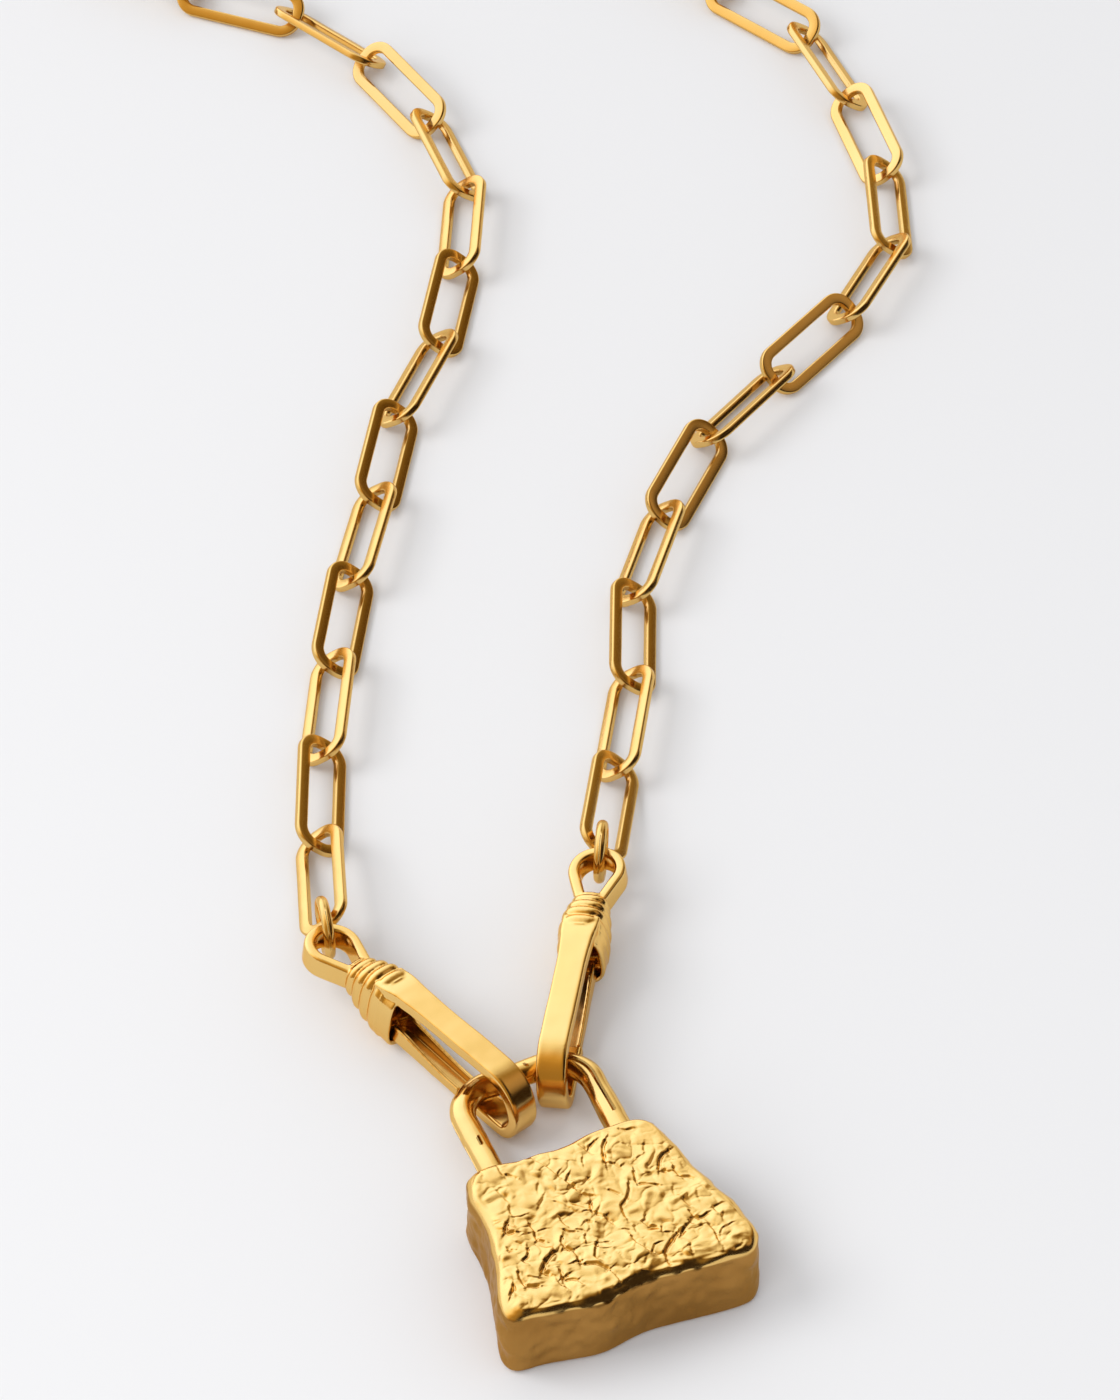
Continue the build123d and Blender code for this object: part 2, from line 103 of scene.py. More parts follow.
# Gold, as linear colours
GOLD_LIGHT = (0.86, 0.58, 0.205, 1.0)
GOLD_DEEP = (0.80, 0.485, 0.135, 1.0)
GOLD_EDGE = (1.0, 0.84, 0.60, 1.0)
CHAIN_LIGHT = (0.79, 0.53, 0.190, 1.0)
CHAIN_DEEP = (0.72, 0.43, 0.115, 1.0)
# The two darker colours of the rougher finish are painted shade: they darken the padlock's walls and the
# inside of the gates' channels, where shade falls
GOLD_SATIN_PAINTED_SHADE = (0.53, 0.280, 0.075, 1.0)
GOLD_DEEP_PAINTED_SHADE = (0.27, 0.120, 0.022, 1.0)
SATIN_ROUGHNESS = 0.30
SATIN_AND_PAINTED_SHADE_SHARE = "wall"

# Finishes: two shades, roughness, and the scale and height of the grain
FINISHES = {
    "polished_gold": {
        "light": GOLD_LIGHT, "deep": GOLD_DEEP, "roughness": 0.17, "grain": 900.0, "height": 0.004 * MM,
    },
    "chain_gold": {
        "light": CHAIN_LIGHT, "deep": CHAIN_DEEP, "roughness": 0.18, "grain": 1200.0, "height": 0.003 * MM,
    },
    "cast_gold": {
        "light": GOLD_LIGHT, "deep": GOLD_DEEP, "roughness": 0.20, "grain": 1500.0, "height": 0.006 * MM,
    },
}
# How the roughness varies between patches, and the scale and detail of patches, of the mix between the two
# painted-shade colours of the rougher finish, and of grain
GLOSS_RANGE = (0.8, 1.25)
PATCHES = {"scale": 180.0, "detail": 3.0}
SHADES = {"scale": 260.0, "detail": 2.0}
GRAIN_DETAIL = 4.0

# Faces of the solids that meet at more than this stay sharp
SHARP_ANGLE = math.radians(35.0)

# How far apart a line's points are, about, in millimetres, and the steps that a section's corner takes
STRAP_GAP = 0.25
EYE_GAP = 0.2
LINK_GAP = 0.3
SHACKLE_GAP = 0.2
SECTION_STEPS = 5
LINK_STEPS = 4
SHACKLE_STEPS = 6
# A line's rounded corners take their points at this share of the gap, in so many steps at least
CORNER_GAP = 0.5
CORNER_STEPS = 4
# Points round each section of a loft
LOFT_POINTS = 48

# Unevenness of the polished pieces, in millimetres: the heights of its coarse and fine waves, their sizes,
# and where in the noise each piece takes them
BUMPS = {
    "hook": {"coarse": 0.035, "fine": 0.010},
    "gate": {"coarse": 0.03, "fine": 0.015},
    "ring": {"coarse": 0.01, "fine": 0.004},
    "link": {"coarse": 0.008, "fine": 0.003},
    "shackle": {"coarse": 0.10, "fine": 0.02},
}
BUMP_SIZE = {"coarse": 2.4, "fine": 0.9}
FINE_SHIFT = 11
HOOK_SEED = {"left": 5.0, "right": 90.0}
GATE_SEED = {"left": 300.0, "right": 340.0}
SHACKLE_SEED = 200.0
RING_SEED = 400.0
LINK_SEED_STEP = 7.3

# Chain links and the shackle's rod, in millimetres
LINK_LENGTH = 10.92
LINK_WIDTH = 4.1
LINK_WIRE = 0.88
LINK_THICK = 0.54
LINK_LEAN = math.radians(38.0)
LINK_CORNER = 1.35
LINK_EDGE = 0.13
ROD = 1.8
SHACKLE_CORNER = 2.6

# Jump rings, in millimetres
RING_WIRE = 0.80
RING_RADIUS = 1.88
RING_STEPS = 64

# Gates, in millimetres from their hinge, with X towards the hook's bend
GATE_LENGTH = 7.36
GATE_HALF = 0.9
GATE_ROOM = 0.58
GATE_TOP = 0.50
GATE_EAR = 0.55
GATE_FLOOR = -0.08
GATE_BOTTOM = -0.40
GATE_TILT = math.radians(2.6)
GATE_EDGE = 0.07
GATE_CORNER = 0.28
GATE_CORNER_STEPS = 4
GATE_ROWS = 24
# The walls' ears rise over this length from the hinge and run out at this share of the gate
EAR_RISE = 0.7
EAR_END = 0.9
# The mesh's cell, the rounds that soften it, and how much of the rougher finish, painted darker as shade, the
# channel has inside and where that begins
GATE_CELL = 0.06
GATE_SOFT = 3
GATE_SATIN_AND_PAINTED_SHADE = 0.4
INSIDE_MARGIN = 0.06
INSIDE_EASE = 0.05
INSIDE_DEPTH = 0.1
KNUCKLE_RADIUS = 0.5
KNUCKLE_HALF = 0.75
KNUCKLE_ROOM = 0.1
KNUCKLE_POINTS = 24

# Hooks, in millimetres of their own frame: X from the eye to the bend, Z up to the strap
HOOK_LAY = {
    "left": {"yaw": -46.0, "pitch": 2.0, "roll": -9.3},
    "right": {"yaw": -99.7, "pitch": 1.9, "roll": 7.6},
}
HINGE = Vector((8.7 * MM, 0, -1.75 * MM))
HOOK_CELL = 0.08
HOOK_SOFT = 4
SOFT_FACTOR = 0.5
EYE_RADIUS = 2.05
EYE_WALL = 0.78
EYE_DEPTH = 1.8
EYE_EDGE = 0.25
EYE_END = 5.2
EYE_STEPS = 24
NECK_SPREAD = 0.55
NECK_WIDTH = 1.5
NECK_HALF = 0.8
NECK_ENDS = (EYE_END - 1.0, EYE_END + 0.4)
STRAP_THICK = 0.98
STRAP_WIDTH = 2.12
STRAP_EDGE = 0.22
STRAP = ((7.5, 1.62), (9.0, 1.93), (20.75, 2.0), (21.5, -0.6), (21.05, -1.95), (16.2, -1.95))
STRAP_RADII = (5.0, 3.0, 1.2, 0.95)
# The strap starts wider and thins towards its nose, by shares of its size and its length
STRAP_FLARE = {"more": 0.28, "end": 0.2}
STRAP_THIN = {"less": 0.10, "start": 0.55, "end": 0.75}
RIDGES = 4
RIDGE_START = 4.5
RIDGE_WIDTH = 0.97
RIDGE_DEPTH = 0.37
LAST_GROOVE = 0.35
COLLAR_ROWS = 110
CUFF_WALL = 0.45
CUFF_DEPTH = 1.9
CUFF_LIP_STEPS = 6
# How square the rounded sections are, from 2 for an ellipse, and how square the cuff is inside
SQUARE = 2.6
CUFF_SQUARE = 3.6
COLLAR = (
    {"at": 4.3, "wide": 2.0, "top": 0.95, "bottom": 1.0},
    {"at": 5.0, "wide": 2.75, "top": 1.45, "bottom": 1.45},
    {"at": 5.95, "wide": 3.15, "top": 1.95, "bottom": 1.95},
    {"at": 6.9, "wide": 3.45, "top": 2.35, "bottom": 2.4},
    {"at": 7.9, "wide": 3.6, "top": 2.50, "bottom": 2.7},
    {"at": 8.4, "wide": 3.6, "top": 2.43, "bottom": 2.85},
    {"at": 8.6, "wide": 3.4, "top": 2.25, "bottom": 2.75},
    {"at": 9.4, "wide": 3.35, "top": 2.2, "bottom": 2.85},
)

# Padlock: its turn on the floor, the level that its outline is read at and how many points smooth it, and a
# distance that is outside it
BODY_TURN = math.radians(23.4)
OUTLINE_LEVEL = 3.42 * MM
OUTLINE_SPREAD = 5
OUTSIDE = 50.0 * MM
# Its mesh's density, and the corners that the mesh's four sides run between, in millimetres of its own frame
FRONT_CELLS = 104
SIDE_ROWS = {"back": 8, "wall": 20, "front": 16}
CORNERS = ((6.0, 7.0), (-7.3, 7.1), (-9.35, -5.1), (8.4, -5.9))
# Its front's level, and how its edges are rounded: the back's rises less and runs in less than a full round
FRONT_LEVEL = 6.2 * MM
FRONT_ROUND = 1.0 * MM
BACK_ROUND = 0.75 * MM
BACK_RISE = 0.6
BACK_INSET = 0.9
# Heights in millimetres where the rougher wall with its painted shade ends and over what height, and where
# the walls' unevenness and the front's relief set in
SATIN_END = 5.68
SATIN_EASE = 0.10
WALL_START = (0.1, 0.9)
RELIEF_START = (6.03, 6.195)

# Waves of the padlock's walls, in millimetres, and the share of their roughness that the polished rim keeps
SATIN_WAVE = {"size": 3.0, "height": 0.10, "seed": 90.0}
WALL_WAVE = {"size": 2.0, "height": 0.20, "seed": 60.0}
ROUGH_WAVES = (
    {"size": 0.95, "height": 0.12, "seed": 70.0},
    {"size": 0.42, "height": 0.03, "seed": 80.0},
)
RIM_SHARE = 0.15

# Waves of the cast front, in millimetres: lumps, knobs that only rise, swells, dimples and ripples
FRONT_WAVES = (
    {"size": 1.9, "height": 0.19, "seed": 3.0, "rises": False},
    {"size": 1.0, "height": 0.08, "seed": 5.0, "rises": True},
    {"size": 0.75, "height": 0.07, "seed": 13.0, "rises": False},
    {"size": 0.5, "height": 0.025, "seed": 7.0, "rises": False},
    {"size": 0.17, "height": 0.003, "seed": 9.0, "rises": False},
)
FRONT_SINK = 0.08
# Rounded pebbles with creases between them. In places they fade to the least share
PEBBLES = {"size": 1.45, "height": 0.11, "seed": 2.0}
PEBBLE_EDGE = 0.42
PEBBLE_LEAST = 0.2
FADE = {"size": 2.6, "seed": 21.0, "low": -0.25, "high": 0.30}
# Drifts that bend the patterns: their sizes, how far they move the waves and the pebbles, and their seeds
# along X and Y
WIDE_DRIFT = {"size": 1.6, "waves": 0.7, "pebbles": 0.5, "seeds": (31.0, 47.0)}
FINE_DRIFT = {"size": 0.6, "pebbles": 0.28, "seeds": (61.0, 67.0)}

# Crevices of the cast front, in millimetres of the padlock's own frame: the line that each one
# follows, and its width and depth before CREVICE_WIDTH and CREVICE_DEPTH scale them
CREVICES = (
    {"line": ((-2.75, 6.7), (-2.5, 6.2), (-2.1, 5.5), (-1.9, 4.9), (-1.7, 4.4)), "wide": 0.10, "deep": 0.26},
    {"line": ((-1.7, 4.7), (-1.45, 4.9)), "wide": 0.08, "deep": 0.12},
    {"line": ((-4.9, 6.0), (-4.6, 5.75), (-4.4, 5.45)), "wide": 0.10, "deep": 0.20},
    {"line": ((-5.15, 6.9), (-5.2, 6.5), (-5.15, 6.1)), "wide": 0.12, "deep": 0.24},
    {"line": ((-6.0, 5.0), (-5.85, 4.6), (-5.7, 4.0)), "wide": 0.12, "deep": 0.14},
    {"line": ((-5.8, 3.4), (-5.9, 2.9)), "wide": 0.14, "deep": 0.20},
    {"line": ((-5.8, 2.5), (-5.4, 2.35), (-5.05, 2.4)), "wide": 0.08, "deep": 0.14},
    {"line": ((-7.6, 2.75), (-7.1, 2.6)), "wide": 0.10, "deep": 0.12},
    {"line": ((-7.6, 2.4), (-7.0, 2.4)), "wide": 0.08, "deep": 0.10},
    {"line": ((-6.5, 2.15), (-6.7, 1.85), (-6.85, 1.6), (-6.7, 1.4), (-6.4, 1.3)),
     "wide": 0.15, "deep": 0.42},
    {"line": ((-5.1, 1.6), (-5.0, 0.95), (-5.15, 0.5), (-5.15, 0.2), (-4.8, -0.15)),
     "wide": 0.12, "deep": 0.34},
    {"line": ((-3.3, 4.4), (-3.5, 4.0)), "wide": 0.14, "deep": 0.12},
    {"line": ((-3.3, 3.4), (-3.5, 3.1), (-3.9, 2.75)), "wide": 0.14, "deep": 0.20},
    {"line": ((-2.8, 2.6), (-2.5, 2.2), (-2.15, 1.7)), "wide": 0.09, "deep": 0.18},
    {"line": ((-1.1, 4.3), (-1.45, 3.9), (-1.3, 3.6), (-1.1, 3.35)), "wide": 0.12, "deep": 0.26},
    {"line": ((-1.1, 2.95), (-0.9, 2.6), (-0.6, 2.3), (-0.25, 2.1)), "wide": 0.10, "deep": 0.22},
    {"line": ((-0.65, 1.7), (-0.85, 1.1)), "wide": 0.14, "deep": 0.30},
    {"line": ((-1.4, 1.1), (-1.1, 1.05)), "wide": 0.08, "deep": 0.16},
    {"line": ((-0.9, 0.9), (-0.6, 0.6), (-0.3, 0.2), (-0.15, -0.3)), "wide": 0.10, "deep": 0.24},
    {"line": ((-0.18, -0.1), (-0.12, -0.3)), "wide": 0.16, "deep": 0.30},
    {"line": ((-3.05, 1.15), (-3.0, 0.9), (-2.9, 0.55)), "wide": 0.11, "deep": 0.28},
    {"line": ((-2.9, 1.1), (-2.0, 1.3)), "wide": 0.12, "deep": 0.10},
    {"line": ((-3.2, 0.2), (-3.0, -0.05), (-2.6, -0.2)), "wide": 0.09, "deep": 0.20},
    {"line": ((-2.4, -0.1), (-2.1, -0.3)), "wide": 0.09, "deep": 0.16},
    {"line": ((-1.75, 0.2), (-1.5, 0.3), (-1.2, 0.05)), "wide": 0.10, "deep": 0.18},
    {"line": ((-7.25, 0.4), (-7.2, 0.15), (-7.0, 0.05)), "wide": 0.11, "deep": 0.18},
    {"line": ((-6.5, 0.5), (-6.25, 0.2)), "wide": 0.10, "deep": 0.12},
    {"line": ((-6.0, 0.85), (-5.45, 0.9)), "wide": 0.07, "deep": 0.10},
    {"line": ((-4.8, 0.85), (-4.2, 0.8)), "wide": 0.07, "deep": 0.10},
    {"line": ((-3.6, -0.35), (-3.8, -0.7), (-3.75, -1.1), (-3.4, -1.6), (-3.25, -2.2), (-3.35, -2.6)),
     "wide": 0.13, "deep": 0.38},
    {"line": ((-3.75, -2.6), (-3.3, -2.6)), "wide": 0.10, "deep": 0.24},
    {"line": ((-6.05, -0.3), (-6.1, -0.6), (-6.3, -0.9), (-6.7, -1.05), (-6.6, -1.3)),
     "wide": 0.13, "deep": 0.34},
    {"line": ((-2.1, -0.8), (-2.2, -1.1)), "wide": 0.13, "deep": 0.30},
    {"line": ((-4.6, -1.3), (-5.1, -1.6), (-5.4, -1.8), (-5.9, -2.35), (-5.6, -2.65)),
     "wide": 0.17, "deep": 0.44},
    {"line": ((-7.4, -1.9), (-7.5, -2.4), (-7.4, -3.0), (-7.0, -3.2), (-6.65, -3.35)),
     "wide": 0.14, "deep": 0.38},
    {"line": ((-8.1, -2.7), (-8.2, -3.0), (-8.6, -3.4)), "wide": 0.14, "deep": 0.34},
    {"line": ((-4.8, -2.8), (-4.75, -3.1), (-4.9, -3.45)), "wide": 0.13, "deep": 0.36},
    {"line": ((-4.9, -3.4), (-4.5, -3.3)), "wide": 0.11, "deep": 0.28},
    {"line": ((-5.25, -3.4), (-5.15, -3.95)), "wide": 0.12, "deep": 0.22},
    {"line": ((-4.7, -3.6), (-4.3, -3.75), (-4.05, -4.0), (-3.85, -4.45)), "wide": 0.09, "deep": 0.22},
    {"line": ((-4.95, -4.0), (-4.9, -4.35)), "wide": 0.12, "deep": 0.18},
    {"line": ((-3.0, -2.95), (-2.4, -3.2), (-2.05, -3.6), (-1.75, -4.0), (-1.55, -4.5), (-1.45, -5.3)),
     "wide": 0.11, "deep": 0.34},
    {"line": ((-1.65, -1.7), (-1.9, -2.1), (-2.2, -2.7), (-2.1, -2.9)), "wide": 0.13, "deep": 0.34},
    {"line": ((-1.1, -1.8), (-0.85, -1.9)), "wide": 0.11, "deep": 0.20},
    {"line": ((-1.8, -2.1), (-1.4, -2.3), (-0.9, -2.45)), "wide": 0.07, "deep": 0.12},
    {"line": ((-1.5, -2.7), (-1.4, -2.95)), "wide": 0.12, "deep": 0.14},
    {"line": ((-6.9, -2.4), (-6.6, -2.65), (-6.1, -2.85)), "wide": 0.07, "deep": 0.14},
    {"line": ((0.6, 6.6), (0.85, 6.1), (0.95, 5.8), (1.2, 6.15), (1.7, 6.35)), "wide": 0.11, "deep": 0.26},
    {"line": ((2.3, 6.0), (2.0, 5.65), (1.8, 5.1), (1.6, 4.3)), "wide": 0.18, "deep": 0.46},
    {"line": ((1.7, 4.3), (2.1, 4.05), (2.35, 3.6), (2.55, 3.7)), "wide": 0.08, "deep": 0.18},
    {"line": ((3.6, 6.7), (4.0, 6.4), (4.45, 6.35)), "wide": 0.10, "deep": 0.20},
    {"line": ((3.35, 5.3), (3.5, 5.15)), "wide": 0.12, "deep": 0.16},
    {"line": ((4.6, 4.7), (4.4, 4.25)), "wide": 0.12, "deep": 0.18},
    {"line": ((3.7, 3.8), (4.0, 3.9)), "wide": 0.12, "deep": 0.12},
    {"line": ((0.35, 5.3), (0.2, 4.9)), "wide": 0.12, "deep": 0.18},
    {"line": ((-0.3, 3.4), (0.0, 3.55)), "wide": 0.13, "deep": 0.20},
    {"line": ((5.9, 3.6), (5.4, 3.4), (5.15, 3.2), (4.9, 2.8), (4.65, 2.35), (5.0, 2.15)),
     "wide": 0.15, "deep": 0.38},
    {"line": ((5.65, 2.1), (5.65, 1.8), (5.75, 1.4)), "wide": 0.15, "deep": 0.38},
    {"line": ((5.8, 1.3), (6.3, 1.1), (6.55, 0.75)), "wide": 0.09, "deep": 0.20},
    {"line": ((3.05, 2.85), (2.95, 2.4), (2.85, 2.05)), "wide": 0.14, "deep": 0.36},
    {"line": ((3.0, 1.8), (3.5, 1.5), (4.1, 1.15)), "wide": 0.08, "deep": 0.18},
    {"line": ((2.3, 2.0), (2.2, 1.65), (1.85, 1.15), (1.5, 0.8), (1.1, 0.5), (1.05, 0.1), (1.0, -0.45)),
     "wide": 0.14, "deep": 0.32},
    {"line": ((0.9, 2.1), (1.15, 1.85), (1.4, 1.5)), "wide": 0.09, "deep": 0.20},
    {"line": ((4.9, 0.6), (4.75, 0.15)), "wide": 0.12, "deep": 0.12},
    {"line": ((5.1, -0.6), (5.2, -0.9), (5.35, -1.25)), "wide": 0.12, "deep": 0.28},
    {"line": ((2.25, -0.8), (2.15, -1.1), (1.85, -1.2), (2.1, -1.7), (2.6, -2.0)),
     "wide": 0.10, "deep": 0.24},
    {"line": ((6.2, -0.4), (6.1, -0.9)), "wide": 0.14, "deep": 0.12},
    {"line": ((0.4, -1.3), (0.8, -1.55)), "wide": 0.08, "deep": 0.12},
    {"line": ((1.2, -1.4), (1.15, -1.9)), "wide": 0.11, "deep": 0.20},
    {"line": ((0.7, -2.15), (0.8, -2.7), (1.05, -3.2), (1.4, -3.85)), "wide": 0.13, "deep": 0.34},
    {"line": ((1.4, -3.85), (1.8, -3.4), (2.2, -3.35)), "wide": 0.08, "deep": 0.16},
    {"line": ((5.1, -1.65), (5.2, -2.1), (5.4, -2.4), (5.7, -2.45), (6.15, -2.3)),
     "wide": 0.12, "deep": 0.32},
    {"line": ((4.45, -2.7), (4.15, -2.9), (3.85, -3.15)), "wide": 0.15, "deep": 0.36},
    {"line": ((3.6, -3.0), (3.1, -3.4), (2.6, -3.8), (2.2, -4.2), (2.15, -4.7), (2.1, -5.4)),
     "wide": 0.14, "deep": 0.40},
    {"line": ((2.9, -2.1), (2.7, -2.6), (3.2, -2.75)), "wide": 0.09, "deep": 0.18},
    {"line": ((4.75, -2.4), (4.85, -2.65)), "wide": 0.11, "deep": 0.22},
    {"line": ((5.85, -3.2), (5.95, -3.6), (6.0, -3.95), (5.85, -4.6)), "wide": 0.12, "deep": 0.30},
    {"line": ((6.2, -4.2), (6.5, -3.9), (7.3, -3.7)), "wide": 0.08, "deep": 0.18},
    {"line": ((7.05, -2.75), (6.9, -3.05)), "wide": 0.11, "deep": 0.16},
    {"line": ((6.7, -2.1), (6.75, -2.5)), "wide": 0.11, "deep": 0.16},
    {"line": ((3.95, -4.35), (3.85, -4.9)), "wide": 0.11, "deep": 0.24},
    {"line": ((6.6, -2.0), (7.4, -1.9)), "wide": 0.08, "deep": 0.12},
)
# The way that the crevices' dark faces look
CREVICE_WAY = (0.5, -0.86)
CREVICE_WIDTH = 0.72
CREVICE_DEPTH = 0.58
# A crevice is a cut with a raised lip behind it and a hollow on the side that its dark face looks to:
# the share of its depth that each of them takes, and how far off they lie and spread, in widths
CUT_SHARE = 0.75
LIP_SHARE = 0.30
LIP_OFF = 1.6
LIP_SPREAD = 3.0
LIP_REACH = 4
HOLLOW_SHARE = 0.40
HOLLOW_SPREAD = 5.0
HOLLOW_EASE = 0.4


def camera():
    data = bpy.data.cameras.new("camera")
    data.sensor_fit = "VERTICAL"
    data.sensor_height = CAMERA_SENSOR
    data.lens = CAMERA_SENSOR * FOCAL_PIXELS / PHOTO_HEIGHT
    data.clip_start = CAMERA_NEAREST
    eye = bpy.data.objects.new("camera", data)
    bpy.context.scene.collection.objects.link(eye)
    x, y = CAMERA_AIM
    eye.location = (x, y - CAMERA_FAR * math.cos(CAMERA_DOWN), CAMERA_FAR * math.sin(CAMERA_DOWN))
    eye.rotation_euler = (math.pi / 2 - CAMERA_DOWN, 0, 0)
    bpy.context.scene.camera = eye


def link_nodes(tree, *pairs):
    for start, end in pairs:
        tree.links.new(start, end)


def toward(tree, way, rows):
    """A colour by how far a direction leans a given way, from 1 along it to -1 against it."""
    place = tree.nodes.new("ShaderNodeTexCoord")
    lean = tree.nodes.new("ShaderNodeVectorMath")
    lean.operation = "DOT_PRODUCT"
    lean.inputs[1].default_value = way
    half = tree.nodes.new("ShaderNodeMath")
    half.operation = "MULTIPLY_ADD"
    half.inputs[1].default_value = 0.5
    half.inputs[2].default_value = 0.5
    ramp = tree.nodes.new("ShaderNodeValToRGB")
    stops = ramp.color_ramp.elements
    while len(stops) < len(rows):
        stops.new(0.5)
    for stop, row in zip(stops, rows):
        stop.position = (row["toward"] + 1) / 2
        stop.color = row["colour"] + (1.0,)
    link_nodes(
        tree,
        (place.outputs["Generated"], lean.inputs[0]),
        (lean.outputs["Value"], half.inputs[0]),
        (half.outputs[0], ramp.inputs["Fac"]),
    )
    return ramp.outputs["Color"]


def world():
    """Even light for the floor, and for the metal a light that is bright behind and dark in front."""
    sky = bpy.data.worlds.new("studio")
    bpy.context.scene.world = sky
    sky.use_nodes = True
    tree = sky.node_tree
    tree.nodes.clear()
    pair = tree.nodes.new("ShaderNodeVectorMath")
    three = tree.nodes.new("ShaderNodeVectorMath")
    lit = tree.nodes.new("ShaderNodeBackground")
    plain = tree.nodes.new("ShaderNodeBackground")
    plain.inputs["Color"].default_value = TENT
    path = tree.nodes.new("ShaderNodeLightPath")
    mix = tree.nodes.new("ShaderNodeMixShader")
    out = tree.nodes.new("ShaderNodeOutputWorld")
    link_nodes(
        tree,
        (toward(tree, LIGHT_WAY, SKY), pair.inputs[0]),
        (toward(tree, FILL_WAY, FILL), pair.inputs[1]),
        (pair.outputs["Vector"], three.inputs[0]),
        (toward(tree, NEAR_WAY, NEAR), three.inputs[1]),
        (three.outputs["Vector"], lit.inputs["Color"]),
        (path.outputs["Is Glossy Ray"], mix.inputs[0]),
        (plain.outputs[0], mix.inputs[1]),
        (lit.outputs[0], mix.inputs[2]),
        (mix.outputs[0], out.inputs["Surface"]),
    )


def lights():
    """Lamps that cast the shadows. The metal doesn't show them."""
    for row in LAMPS:
        data = bpy.data.lights.new(row["name"], "AREA")
        data.size = row["size"]
        data.energy = row["power"]
        lamp = bpy.data.objects.new(row["name"], data)
        bpy.context.scene.collection.objects.link(lamp)
        lamp.location = row["place"]
        away = Vector(LAMPS_AIM) - lamp.location
        lamp.rotation_euler = away.to_track_quat("-Z", "Y").to_euler()
        lamp.visible_glossy = False


def floor():
    half = FLOOR_SIZE / 2
    mesh = bpy.data.meshes.new("floor")
    corners = [(-half, -half, 0), (half, -half, 0), (half, half, 0), (-half, half, 0)]
    mesh.from_pydata(corners, [], [(0, 1, 2, 3)])
    plane = bpy.data.objects.new("floor", mesh)
    bpy.context.scene.collection.objects.link(plane)
    paper = bpy.data.materials.new("paper")
    paper.use_nodes = True
    shader = paper.node_tree.nodes["Principled BSDF"]
    shader.inputs["Base Color"].default_value = FLOOR_COLOUR
    shader.inputs["Roughness"].default_value = FLOOR_ROUGHNESS
    shader.inputs["Specular IOR Level"].default_value = FLOOR_SHINE
    mesh.materials.append(paper)


def clouds(tree, where, scale, detail):
    """The output of a noise texture on the piece's own places."""
    texture = tree.nodes.new("ShaderNodeTexNoise")
    texture.inputs["Scale"].default_value = scale
    texture.inputs["Detail"].default_value = detail
    tree.links.new(where, texture.inputs["Vector"])
    return texture.outputs["Fac"]


def mixed(tree, kind, share, first, second):
    """The output of a mix. Each of the two sides is a plain value or another node's output."""
    mix = tree.nodes.new("ShaderNodeMix")
    mix.data_type = kind
    tree.links.new(share, mix.inputs["Factor"])
    for name, side in (("A", first), ("B", second)):
        if isinstance(side, bpy.types.NodeSocket):
            tree.links.new(side, mix.inputs[name])
        else:
            mix.inputs[name].default_value = side
    return mix.outputs["Result"]


def gold(name, satin_and_painted_shade=False):
    """Plated brass: patches of two shades and fine grain. Where a piece says so, a rougher finish comes in
    with darker colours that are painted shade.
    """
    finish = FINISHES[name]
    metal = bpy.data.materials.new(name)
    metal.use_nodes = True
    tree = metal.node_tree
    shader = tree.nodes["Principled BSDF"]
    shader.inputs["Metallic"].default_value = 1.0
    shader.inputs["Specular Tint"].default_value = GOLD_EDGE
    where = tree.nodes.new("ShaderNodeTexCoord").outputs["Object"]
    patches = clouds(tree, where, PATCHES["scale"], PATCHES["detail"])
    colour = mixed(tree, "RGBA", patches, finish["light"], finish["deep"])
    gloss = tree.nodes.new("ShaderNodeMapRange")
    gloss.inputs["To Min"].default_value = finish["roughness"] * GLOSS_RANGE[0]
    gloss.inputs["To Max"].default_value = finish["roughness"] * GLOSS_RANGE[1]
    rough = gloss.outputs["Result"]
    bump = tree.nodes.new("ShaderNodeBump")
    bump.inputs["Strength"].default_value = 1.0
    bump.inputs["Distance"].default_value = finish["height"]
    # The rougher finish's darker colours are painted shade, mixed in by the piece's share
    if satin_and_painted_shade:
        wall = tree.nodes.new("ShaderNodeAttribute")
        wall.attribute_name = SATIN_AND_PAINTED_SHADE_SHARE
        shades = clouds(tree, where, SHADES["scale"], SHADES["detail"])
        dull_with_painted_shade = mixed(tree, "RGBA", shades, GOLD_SATIN_PAINTED_SHADE, GOLD_DEEP_PAINTED_SHADE)
        colour = mixed(tree, "RGBA", wall.outputs["Fac"], colour, dull_with_painted_shade)
        rough = mixed(tree, "FLOAT", wall.outputs["Fac"], rough, SATIN_ROUGHNESS)
    link_nodes(
        tree,
        (patches, gloss.inputs["Value"]),
        (clouds(tree, where, finish["grain"], GRAIN_DETAIL), bump.inputs["Height"]),
        (bump.outputs["Normal"], shader.inputs["Normal"]),
        (colour, shader.inputs["Base Color"]),
        (rough, shader.inputs["Roughness"]),
    )
    return metal


def share_satin_and_painted_shade(mesh, share):
    """Say how much of the rougher finish, with its painted shade, each point of a mesh has, from 0 to 1."""
    mesh.attributes.new(SATIN_AND_PAINTED_SHADE_SHARE, "FLOAT", "POINT").data.foreach_set("value", share)


def smooth(mesh):
    for face in mesh.polygons:
        face.use_smooth = True


# Padlock body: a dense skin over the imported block, with the cast front's lumps and crevices

def block_reader(node):
    """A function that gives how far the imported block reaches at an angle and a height."""
    mesh = node.data
    tree = BVHTree.FromPolygons([v.co for v in mesh.vertices], [p.vertices for p in mesh.polygons])

    def reach(angle, height):
        turn = angle + BODY_TURN
        way = Vector((math.cos(turn), math.sin(turn), 0))
        hit = tree.ray_cast(way * OUTSIDE + Vector((0, 0, height)), -way)[0]
        return math.hypot(hit.x, hit.y)

    return reach


